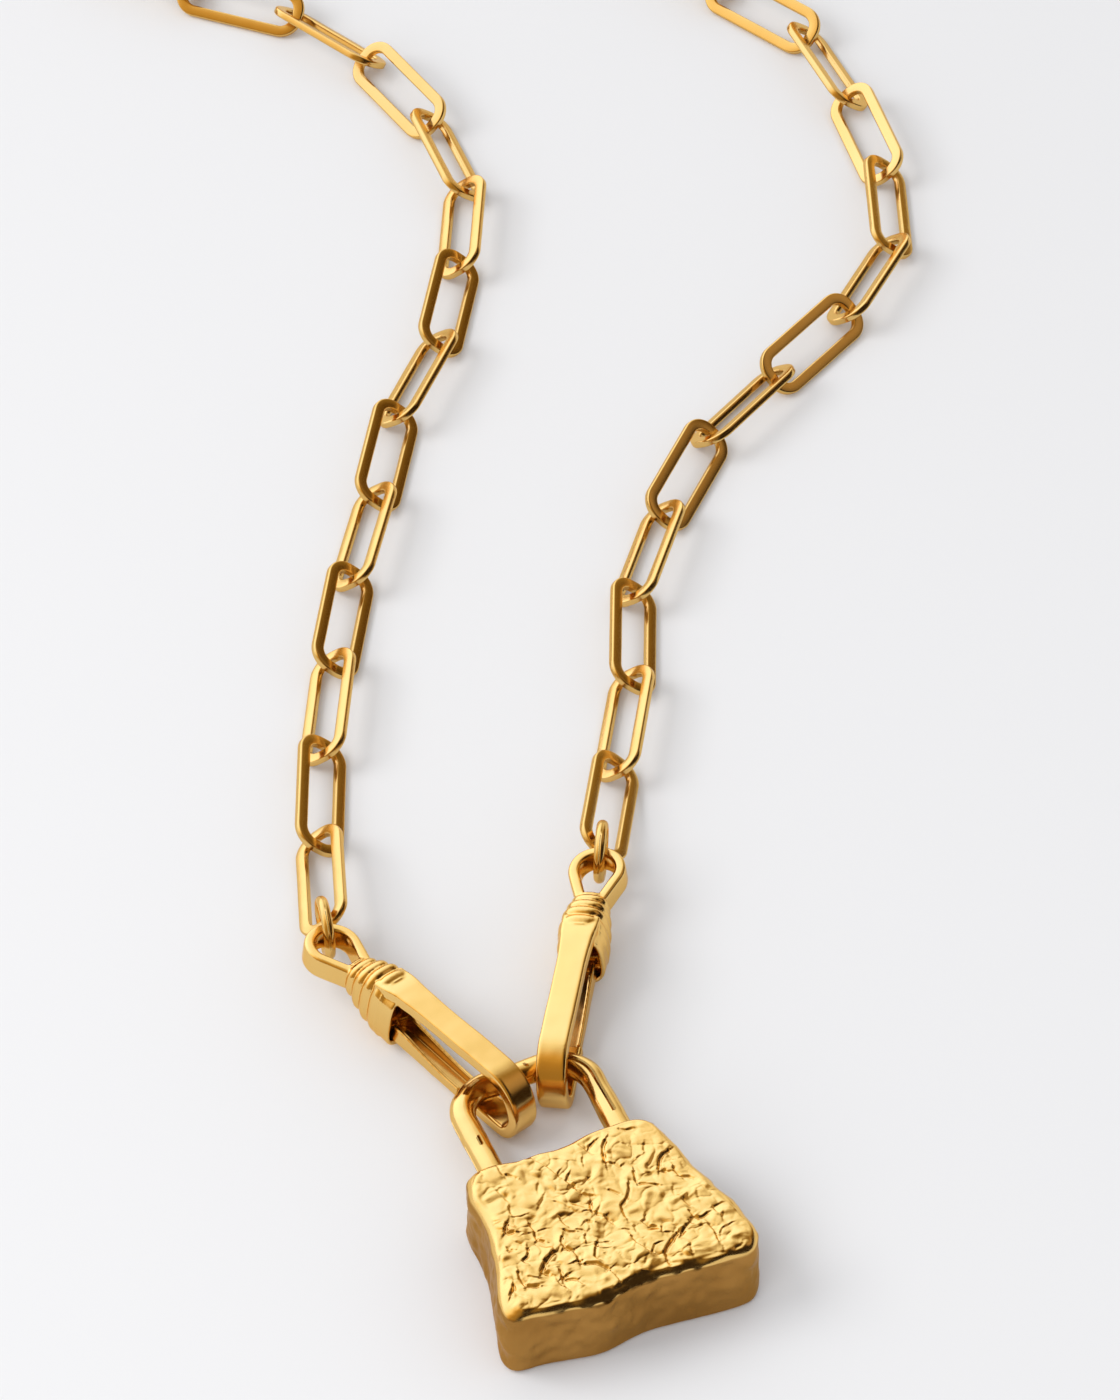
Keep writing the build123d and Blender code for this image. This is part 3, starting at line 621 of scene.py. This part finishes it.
def round_line(values, spread):
    """A closed row of values, smoothed with its neighbours."""
    kernel = np.exp(-0.5 * (np.arange(-3 * spread, 3 * spread + 1) / spread) ** 2)
    padded = np.concatenate([values[-3 * spread:], values, values[:3 * spread]])
    return np.convolve(padded, kernel / kernel.sum(), "valid")


def rim_angles(count):
    """Directions of the rim's points, evenly spaced along each side of the block."""
    angles = []
    for (ax, ay), (bx, by) in zip(CORNERS, CORNERS[1:] + CORNERS[:1]):
        for i in range(count):
            t = i / count
            angles.append(math.atan2(ay + (by - ay) * t, ax + (bx - ax) * t))
    return angles


def side_profile():
    """Heights of the side's rows, and how far each one is pulled in."""
    rows = []
    for i in range(SIDE_ROWS["back"]):
        a = math.pi / 2 * i / SIDE_ROWS["back"]
        rows.append((BACK_ROUND * (1 - math.cos(a)) * BACK_RISE, BACK_ROUND * (1 - math.sin(a)) * BACK_INSET))
    start, end = BACK_ROUND * BACK_RISE, FRONT_LEVEL - FRONT_ROUND
    for i in range(SIDE_ROWS["wall"]):
        rows.append((start + (end - start) * i / SIDE_ROWS["wall"], 0.0))
    for i in range(SIDE_ROWS["front"] + 1):
        a = math.pi / 2 * i / SIDE_ROWS["front"]
        rows.append((end + FRONT_ROUND * math.sin(a), FRONT_ROUND * (1 - math.cos(a))))
    return rows


def eased(value, low, high):
    """0 up to the low value, 1 from the high one, and a smooth step between them."""
    t = np.clip((value - low) / (high - low), 0, 1)
    return t * t * (3 - 2 * t)


def bell(value):
    return np.exp(-value ** 2)


def crevices(x, y):
    """Height that the crevices add or take away, at places in millimetres of the padlock's frame."""
    total = np.zeros_like(x)
    for row in CREVICES:
        nearest = np.full_like(x, np.inf)
        signed = np.zeros_like(x)
        for (ax, ay), (bx, by) in zip(row["line"], row["line"][1:]):
            dx, dy = bx - ax, by - ay
            t = np.clip(((x - ax) * dx + (y - ay) * dy) / (dx * dx + dy * dy), 0, 1)
            px, py = x - ax - t * dx, y - ay - t * dy
            away = np.hypot(px, py)
            turn = 1.0 if -dy * CREVICE_WAY[0] + dx * CREVICE_WAY[1] > 0 else -1.0
            side = turn * (-dy * px + dx * py)
            closer = away < nearest
            nearest = np.where(closer, away, nearest)
            signed = np.where(closer, np.where(side >= 0, away, -away), signed)
        wide = CREVICE_WIDTH * row["wide"]
        cut = bell(nearest / wide)
        lip = bell((signed + LIP_OFF * wide) / (LIP_SPREAD * wide)) * bell(nearest / (LIP_REACH * wide))
        hollow = bell(nearest / (HOLLOW_SPREAD * wide)) / (1 + np.exp(-signed / (HOLLOW_EASE * wide)))
        shape = LIP_SHARE * lip - CUT_SHARE * cut - HOLLOW_SHARE * hollow
        total += CREVICE_DEPTH * row["deep"] * shape
    return total


def waves(places, size, seed):
    """Smooth noise at a list of places in millimetres, between -1 and 1."""
    return np.array([noise.noise(Vector((x / size, y / size, z / size + seed))) for x, y, z in places])


def wave(places, row):
    """Smooth noise at a list of places in millimetres, as high as a row of a table says."""
    return row["height"] * waves(places, row["size"], row["seed"])


def pebbles(places, size, seed):
    """Rounded lumps of about a size with creases between them: 0 in a crease, 1 on a lump."""
    heights = []
    for x, y, z in places:
        (first, second, *_), _ = noise.voronoi(Vector((x / size, y / size, z / size + seed)))
        heights.append(second - first)
    return np.sqrt(np.clip(np.array(heights) / PEBBLE_EDGE, 0, 1))


def relief(x, y):
    """Height of the cast front above its level, in millimetres."""
    flat = np.zeros_like(x)
    wide_x, wide_y = (waves(zip(x, y, flat), WIDE_DRIFT["size"], seed) for seed in WIDE_DRIFT["seeds"])
    fine_x, fine_y = (waves(zip(x, y, flat), FINE_DRIFT["size"], seed) for seed in FINE_DRIFT["seeds"])
    far = WIDE_DRIFT["waves"]
    bent = list(zip(x + far * wide_x, y + far * wide_y, flat))
    far, near = WIDE_DRIFT["pebbles"], FINE_DRIFT["pebbles"]
    twisted = list(zip(x + far * wide_x + near * fine_x, y + far * wide_y + near * fine_y, flat))
    ground = np.zeros_like(x)
    for row in FRONT_WAVES:
        part = wave(bent, row)
        ground += np.abs(part) if row["rises"] else part
    ground -= FRONT_SINK
    full = eased(waves(bent, FADE["size"], FADE["seed"]), FADE["low"], FADE["high"])
    share = PEBBLE_LEAST + (1 - PEBBLE_LEAST) * full
    ground += PEBBLES["height"] * share * pebbles(twisted, PEBBLES["size"], PEBBLES["seed"])
    return ground + crevices(x, y)


def padlock_mesh(node):
    """The closed skin, before its relief, with each point's place in the padlock's frame."""
    reach = block_reader(node)
    angles = rim_angles(2 * FRONT_CELLS)
    count = len(angles)
    outline = round_line(np.array([reach(a, OUTLINE_LEVEL) for a in angles]), OUTLINE_SPREAD)
    points, faces, rows = [], [], []
    for height, inset in side_profile():
        rows.append(range(len(points), len(points) + count))
        for angle, far in zip(angles, outline):
            points.append(((far - inset) * math.cos(angle), (far - inset) * math.sin(angle), height))
    for low, high in zip(rows, rows[1:]):
        for i in range(count):
            j = (i + 1) % count
            faces.append((low[i], low[j], high[j], high[i]))
    faces.append(tuple(reversed(rows[0])))
    fill_front(points, faces, list(rows[-1]))
    return points, faces


def fill_front(points, faces, last):
    """Close the front with rings of squares that shrink from its rim to its middle."""
    sides, count = len(CORNERS), len(last)
    edge = [points[k] for k in last]
    for ring in range(FRONT_CELLS - 1, 0, -1):
        share = ring / FRONT_CELLS
        small, large = 2 * ring, 2 * (ring + 1)
        ids = []
        for k in range(sides * small):
            place = k / ring * FRONT_CELLS
            i = int(place)
            t = place - i
            (ax, ay, az), (bx, by, _) = edge[i], edge[(i + 1) % count]
            ids.append(len(points))
            points.append((share * (ax + (bx - ax) * t), share * (ay + (by - ay) * t), az))
        for k in range(sides):
            for i in range(small):
                a, b = ids[k * small + i], ids[(k * small + i + 1) % len(ids)]
                c, d = last[k * large + i + 1], last[(k * large + i + 2) % len(last)]
                faces.append((c, d, b, a))
            before, after = last[(k * large - 1) % len(last)], last[k * large + 1]
            faces.append((before, last[k * large], after, ids[k * small]))
        last = ids
    centre = len(points)
    points.append((0, 0, FRONT_LEVEL))
    for k in range(sides):
        faces.append((last[(2 * k - 1) % len(last)], last[2 * k], last[2 * k + 1], centre))


def padlock(frame, metal):
    points, faces = padlock_mesh(frame["nodes"]["padlock_body"])
    mesh = bpy.data.meshes.new("padlock_skin")
    mesh.from_pydata(points, [], faces)
    mesh.update()
    place = np.array(points)
    normal = np.array([v.vector for v in mesh.vertex_normals])
    x, y, z = place.T / MM
    front = eased(z, *RELIEF_START)
    side = eased(z, *WALL_START) * (1 - front)
    # Share of the rougher wall below the rim, which the cast material paints darker as shade
    satin_and_painted_shade = eased(SATIN_END + wave(place / MM, SATIN_WAVE) - z, 0.0, SATIN_EASE)
    rough = sum(wave(place / MM, row) for row in ROUGH_WAVES)
    wall = wave(place / MM, WALL_WAVE) + (RIM_SHARE + (1 - RIM_SHARE) * satin_and_painted_shade) * rough
    rise = front * relief(x, y) + side * wall
    share_satin_and_painted_shade(mesh, satin_and_painted_shade)
    place += normal * (rise * MM)[:, None]
    c, s = math.cos(BODY_TURN), math.sin(BODY_TURN)
    turn = np.array([[c, s, 0], [-s, c, 0], [0, 0, 1]])
    place = place @ turn
    mesh.vertices.foreach_set("co", place.astype(np.float32).ravel())
    mesh.update()
    skin = bpy.data.objects.new("padlock_skin", mesh)
    bpy.context.scene.collection.objects.link(skin)
    smooth(mesh)
    mesh.materials.append(metal)
    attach(skin, "necklace")
    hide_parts("padlock_body")


# Plane lines, sections and what is carried along them; lengths here are millimetres

def filled(line, gap, closed=False):
    """The same line, with its long stretches divided into steps of about the gap."""
    points = []
    ends = line[1:] + line[:1] if closed else line[1:]
    for (ax, ay), (bx, by) in zip(line, ends):
        steps = max(1, round(math.hypot(bx - ax, by - ay) / gap))
        points += [(ax + (bx - ax) * k / steps, ay + (by - ay) * k / steps) for k in range(steps)]
    return points if closed else points + [line[-1]]


def rounded(corners, radii, gap, closed=False):
    """A plane line through corners that are rounded to their radii."""
    line = []
    count = len(corners)
    inner = range(count) if closed else range(1, count - 1)
    for i in range(count):
        x, y = corners[i]
        if i not in inner:
            line.append((x, y))
            continue
        ax, ay = corners[i - 1]
        bx, by = corners[(i + 1) % count]
        start, end = math.atan2(ay - y, ax - x), math.atan2(by - y, bx - x)
        turn = (end - start + math.pi) % (2 * math.pi) - math.pi
        radius = radii[i if closed else i - 1]
        reach = radius / math.sin(abs(turn) / 2)
        middle = start + turn / 2
        cx, cy = x + reach * math.cos(middle), y + reach * math.sin(middle)
        swing = (math.pi - abs(turn)) * (1 if turn > 0 else -1)
        steps = max(CORNER_STEPS, round(abs(swing) * radius / (CORNER_GAP * gap)))
        for k in range(steps + 1):
            a = middle + math.pi + swing * (0.5 - k / steps)
            line.append((cx + radius * math.cos(a), cy + radius * math.sin(a)))
    return filled(line, gap, closed)


def rounded_section(wide, tall, radius, steps=SECTION_STEPS):
    """Points of a rounded rectangle about the origin."""
    points = []
    for k, (sx, sy) in enumerate(((1, 1), (-1, 1), (-1, -1), (1, -1))):
        for i in range(steps + 1):
            a = math.pi / 2 * (k + i / steps)
            x = sx * (wide / 2 - radius) + radius * math.cos(a)
            y = sy * (tall / 2 - radius) + radius * math.sin(a)
            points.append((x, y))
    return points


def tube_faces(rows, around, closed):
    faces = []
    for i in range(rows if closed else rows - 1):
        for k in range(around):
            j, m = (i + 1) % rows, (k + 1) % around
            faces.append((i * around + k, i * around + m, j * around + m, j * around + k))
    if not closed:
        faces.append(tuple(reversed(range(around))))
        faces.append(tuple(range((rows - 1) * around, rows * around)))
    return faces


def carried(line, section, closed=False, grow=None):
    """A section carried along a plane line. The section's second axis is square to the plane."""
    count = len(line)
    points = []
    for i, (x, y) in enumerate(line):
        before = line[i - 1] if closed or i else line[i]
        after = line[(i + 1) % count] if closed or i < count - 1 else line[i]
        dx, dy = after[0] - before[0], after[1] - before[1]
        run = math.hypot(dx, dy)
        thick, wide = grow(i / (count - 1)) if grow else (1.0, 1.0)
        for a, b in section:
            points.append((x - dy / run * a * thick, y + dx / run * a * thick, b * wide))
    return points, tube_faces(count, len(section), closed)


def lofted(rows):
    """Rounded sections along X, each row giving its place, width, top, bottom and squareness."""
    points = []
    for x, wide, top, bottom, square in rows:
        for k in range(LOFT_POINTS):
            a = 2 * math.pi * k / LOFT_POINTS
            c, s = math.cos(a), math.sin(a)
            y = wide / 2 * math.copysign(abs(c) ** (2 / square), c)
            z = (top - bottom) / 2 + (top + bottom) / 2 * math.copysign(abs(s) ** (2 / square), s)
            points.append((x, y, z))
    return points, tube_faces(len(rows), LOFT_POINTS, False)


def on_side(shape):
    """A shape drawn in a plane, stood up so that the plane is the hook's own XZ plane."""
    points, faces = shape
    return [(x, -z, y) for x, y, z in points], faces


def joined(shapes):
    points, faces = [], []
    for more, rings in shapes:
        start = len(points)
        points += list(more)
        faces += [tuple(start + k for k in ring) for ring in rings]
    return points, faces


def made(name, shape):
    points, faces = shape
    mesh = bpy.data.meshes.new(name)
    mesh.from_pydata([tuple(p) for p in points], [], faces)
    mesh.update()
    piece = bpy.data.objects.new(name, mesh)
    bpy.context.scene.collection.objects.link(piece)
    return piece


def fused(piece, cell, rounds):
    """One skin round overlapping closed shapes, softened like a casting."""
    shell = piece.modifiers.new("one_skin", "REMESH")
    shell.mode = "VOXEL"
    shell.voxel_size = cell
    soft = piece.modifiers.new("soft", "SMOOTH")
    soft.factor = SOFT_FACTOR
    soft.iterations = rounds
    shape = piece.evaluated_get(bpy.context.evaluated_depsgraph_get())
    mesh = bpy.data.meshes.new_from_object(shape)
    piece.modifiers.clear()
    piece.data = mesh


def cast_bumps(piece, heights, seed):
    """Slight unevenness of a cast and polished surface."""
    mesh = piece.data
    place = np.array([v.co for v in mesh.vertices])
    normal = np.array([v.vector for v in mesh.vertex_normals])
    coarse = heights["coarse"] * waves(place, BUMP_SIZE["coarse"], seed)
    fine = heights["fine"] * waves(place, BUMP_SIZE["fine"], seed + FINE_SHIFT)
    rise = coarse + fine
    mesh.vertices.foreach_set("co", (place + normal * rise[:, None]).astype(np.float32).ravel())
    mesh.update()


def settle(piece, place, metal, body, slot, *nodes):
    """Put a piece modelled in millimetres in its place, with its finish, body and solids."""
    piece.data.transform(place @ Matrix.Scale(MM, 4))
    smooth(piece.data)
    piece.data.materials.clear()
    piece.data.materials.append(metal)
    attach(piece, body)
    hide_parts(*nodes)


# Hooks

def hook_place(side):
    """Where a hook lies: its turn is known, and the gate's hinge gives its place."""
    lay = HOOK_LAY[side]
    turn = Matrix.Rotation(math.radians(lay["yaw"]), 4, "Z")
    turn = turn @ Matrix.Rotation(math.radians(lay["pitch"]), 4, "Y")
    turn = turn @ Matrix.Rotation(math.radians(lay["roll"]), 4, "X")
    low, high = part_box(side + "_gate_pin")
    return Matrix.Translation((low + high) / 2 - turn @ HINGE) @ turn


def teardrop():
    """Middle line of the eye, from one side of the neck round to the other."""
    middle = EYE_RADIUS - EYE_WALL / 2
    run = EYE_END - EYE_RADIUS
    start = math.atan2(NECK_SPREAD, run) + math.acos(middle / math.hypot(run, NECK_SPREAD))
    line = [(EYE_END, -NECK_SPREAD)]
    for k in range(EYE_STEPS + 1):
        a = -start - (2 * math.pi - 2 * start) * k / EYE_STEPS
        line.append((EYE_RADIUS + middle * math.cos(a), middle * math.sin(a)))
    return filled(line + [(EYE_END, NECK_SPREAD)], EYE_GAP)


def collar_rows():
    """Sections of the collar's ridges and the cuff, then back inside the cuff."""
    places = [row["at"] for row in COLLAR]
    sizes = np.array([(row["wide"], row["top"], row["bottom"]) for row in COLLAR])
    rows = []
    for k in range(COLLAR_ROWS + 1):
        x = places[0] + (places[-1] - places[0]) * k / COLLAR_ROWS
        wide, top, bottom = (np.interp(x, places, column) for column in sizes.T)
        ridge = (x - RIDGE_START) / RIDGE_WIDTH
        if 0 <= ridge <= RIDGES:
            u = 2 * (ridge - math.floor(ridge)) - 1
            depth = RIDGE_DEPTH * (LAST_GROOVE if ridge > RIDGES - 0.5 else 1.0)
            groove = depth * (1 - math.sqrt(max(0.0, 1 - u * u)))
            wide, top, bottom = wide - 2 * groove, top - groove, bottom - groove
        rows.append((x, wide, top, bottom, SQUARE))
    mouth, wide, top, bottom, _ = rows[-1]
    lip = CUFF_WALL / 2
    for k in range(1, CUFF_LIP_STEPS + 1):
        a = math.pi * k / CUFF_LIP_STEPS
        cut = lip * (1 - math.cos(a))
        square = SQUARE + (CUFF_SQUARE - SQUARE) * k / CUFF_LIP_STEPS
        rows.append((mouth + lip * math.sin(a), wide - 2 * cut, top - cut, bottom - cut, square))
    wide, top, bottom = wide - 2 * CUFF_WALL, top - CUFF_WALL, bottom - CUFF_WALL
    rows.append((mouth - CUFF_DEPTH, wide, top, bottom, CUFF_SQUARE))
    return rows


def strap_size(share):
    """Thickness and width of the strap along its length, as shares."""
    flare = 1 - eased(share, 0.0, STRAP_FLARE["end"])
    thin = eased(share, STRAP_THIN["start"], STRAP_THIN["end"])
    return 1 - STRAP_THIN["less"] * thin, 1 + STRAP_FLARE["more"] * flare


def hook(side, metal):
    line = rounded(STRAP, STRAP_RADII, STRAP_GAP)
    section = rounded_section(STRAP_THICK, STRAP_WIDTH, STRAP_EDGE)
    strap = on_side(carried(line, section, grow=strap_size))
    eye = carried(teardrop(), rounded_section(EYE_WALL, EYE_DEPTH, EYE_EDGE))
    neck = lofted([(x, NECK_WIDTH, NECK_HALF, NECK_HALF, SQUARE) for x in NECK_ENDS])
    piece = made(side + "_hook_cast", joined([strap, eye, neck, lofted(collar_rows())]))
    fused(piece, HOOK_CELL, HOOK_SOFT)
    cast_bumps(piece, BUMPS["hook"], HOOK_SEED[side])
    settle(piece, hook_place(side), metal, "necklace", "polished_gold", side + "_hook")


def channel_section(half, room, top):
    """A gate's U section, from its near top edge over the floor and back under it."""
    edge = GATE_EDGE
    near = [(-half, top - edge), (-half + edge, top), (-room - edge, top), (-room, top - edge)]
    near += [(-room, GATE_FLOOR + edge), (-room + edge, GATE_FLOOR)]
    far = [(-y, z) for y, z in reversed(near)]
    middle, level = half - GATE_CORNER, GATE_BOTTOM + GATE_CORNER
    under = []
    for k in range(GATE_CORNER_STEPS + 1):
        a = -math.pi / 2 * k / GATE_CORNER_STEPS
        under.append((middle + GATE_CORNER * math.cos(a), level + GATE_CORNER * math.sin(a)))
    return near + far + under + [(-y, z) for y, z in reversed(under)]


def gate_channel():
    """The U channel, tallest next to its hinge."""
    points = []
    for i in range(GATE_ROWS):
        share = i / (GATE_ROWS - 1)
        x = GATE_LENGTH * share
        top = GATE_TOP + GATE_EAR * (1 - eased(share, 0.0, EAR_END)) * eased(x, 0.0, EAR_RISE)
        room = GATE_ROOM if x > KNUCKLE_RADIUS else KNUCKLE_ROOM
        points += [(x, y, z) for y, z in channel_section(GATE_HALF, room, top)]
    return points, tube_faces(GATE_ROWS, len(points) // GATE_ROWS, False)


def gate_knuckle():
    points = []
    for y in (-KNUCKLE_HALF, KNUCKLE_HALF):
        for k in range(KNUCKLE_POINTS):
            a = 2 * math.pi * k / KNUCKLE_POINTS
            points.append((KNUCKLE_RADIUS * math.cos(a), y, KNUCKLE_RADIUS * math.sin(a)))
    return points, tube_faces(2, KNUCKLE_POINTS, False)


def gate(side, metal):
    """The channel and its knuckle in one, with a rougher finish inside the channel that is painted darker as
    shade.
    """
    piece = made(side + "_gate_channel", joined([gate_channel(), gate_knuckle()]))
    fused(piece, GATE_CELL, GATE_SOFT)
    cast_bumps(piece, BUMPS["gate"], GATE_SEED[side])
    _, y, z = np.array([v.co for v in piece.data.vertices]).T
    # Inside the channel the finish is rougher and painted darker: painted shade in the recess
    inside = eased(GATE_ROOM + INSIDE_MARGIN - np.abs(y), 0.0, INSIDE_EASE)
    inside *= eased(z, GATE_BOTTOM + INSIDE_DEPTH, GATE_FLOOR)
    share_satin_and_painted_shade(piece.data, GATE_SATIN_AND_PAINTED_SHADE * inside)
    tilt = Matrix.Translation(HINGE) @ Matrix.Rotation(GATE_TILT, 4, "Y")
    settle(piece, hook_place(side) @ tilt, metal, side + "_gate", "polished_gold", side + "_gate")


# Links and rings

def spread(node):
    """The middle of a solid's box, and the axes that its points spread along, the narrowest first."""
    co = np.array([v.co for v in node.data.vertices])
    axes = np.linalg.eigh(np.cov((co - co.mean(0)).T))[1]
    return Vector((co.min(0) + co.max(0)) / 2), [Vector(axis) for axis in axes.T]


def jump_ring(side, frame, metal):
    middle, axes = spread(frame["nodes"][side + "_jump_ring"])
    turn = axes[0].to_track_quat("Z", "Y").to_matrix().to_4x4()
    line = []
    for k in range(RING_STEPS):
        a = 2 * math.pi * k / RING_STEPS
        line.append((RING_RADIUS * math.cos(a), RING_RADIUS * math.sin(a)))
    wire = rounded_section(RING_WIRE, RING_WIRE, RING_WIRE / 2)
    piece = made(side + "_ring_wire", carried(line, wire, closed=True))
    cast_bumps(piece, BUMPS["ring"], RING_SEED)
    settle(piece, Matrix.Translation(middle) @ turn, metal, "necklace", "chain_gold", side + "_jump_ring")


def link_place(node):
    """Where a packed link lies, from the spread of its own points."""
    middle, (face, _, along) = spread(node)
    side = Vector((0, 0, 1)).cross(along).normalized()
    up = along.cross(side)
    lean = LINK_LEAN if face.dot(side) * face.dot(up) > 0 else -LINK_LEAN
    face = up * math.cos(lean) + side * math.sin(lean)
    turn = Matrix((along, face.cross(along), face)).transposed().to_4x4()
    return Matrix.Translation(middle) @ turn


def link_shape():
    x, y = (LINK_LENGTH - LINK_WIRE) / 2, (LINK_WIDTH - LINK_WIRE) / 2
    corners = [(x, y), (-x, y), (-x, -y), (x, -y)]
    line = rounded(corners, [LINK_CORNER] * 4, LINK_GAP, closed=True)
    return carried(line, rounded_section(LINK_WIRE, LINK_THICK, LINK_EDGE, LINK_STEPS), closed=True)


def links(frame, metal):
    shape = link_shape()
    for name in sorted(frame["nodes"]):
        if name.startswith("chain_link"):
            piece = made(name + "_wire", shape)
            cast_bumps(piece, BUMPS["link"], int(name[-2:]) * LINK_SEED_STEP)
            node = frame["nodes"][name]
            place = link_place(node)
            low = min(v.co.z for v in node.data.vertices)
            new = min((place @ (v.co * MM)).z for v in piece.data.vertices)
            rest = Matrix.Translation((0, 0, low - new)) @ place
            settle(piece, rest, metal, "necklace", "chain_gold", name)


# Shackle

def shackle(frame, metal):
    low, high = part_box("shackle")
    c, s = math.cos(BODY_TURN), math.sin(BODY_TURN)
    co = np.array([v.co for v in frame["nodes"]["shackle"].data.vertices]) / MM
    across, up = co[:, 0] * c + co[:, 1] * s, -co[:, 0] * s + co[:, 1] * c
    half = ROD / 2
    left, right, foot, bow = across.min() + half, across.max() - half, up.min(), up.max() - half
    level = (low.z + high.z) / 2 / MM
    corners = [(left, foot), (left, bow), (right, bow), (right, foot)]
    line = rounded(corners, [SHACKLE_CORNER] * 2, SHACKLE_GAP)
    piece = made("shackle_rod", carried(line, rounded_section(ROD, ROD, half, SHACKLE_STEPS)))
    cast_bumps(piece, BUMPS["shackle"], SHACKLE_SEED)
    turn = Matrix.Rotation(BODY_TURN, 4, "Z") @ Matrix.Translation((0, 0, level * MM))
    settle(piece, turn, metal, "necklace", "polished_gold", "shackle")


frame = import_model()
bpy.context.scene.view_settings.view_transform = "Standard"
camera()
world()
lights()
floor()
polished = gold("polished_gold")
chain_gold = gold("chain_gold")
# The cast gold paints shade on the padlock's walls and inside the gates' channels
cast = gold("cast_gold", satin_and_painted_shade=True)
for node in frame["nodes"].values():
    for slot in node.material_slots:
        slot.material = polished
    smooth(node.data)
    node.data.set_sharp_from_angle(angle=SHARP_ANGLE)
padlock(frame, cast)
shackle(frame, polished)
for side in HOOK_LAY:
    hook(side, polished)
    gate(side, cast)
    jump_ring(side, frame, chain_gold)
links(frame, chain_gold)
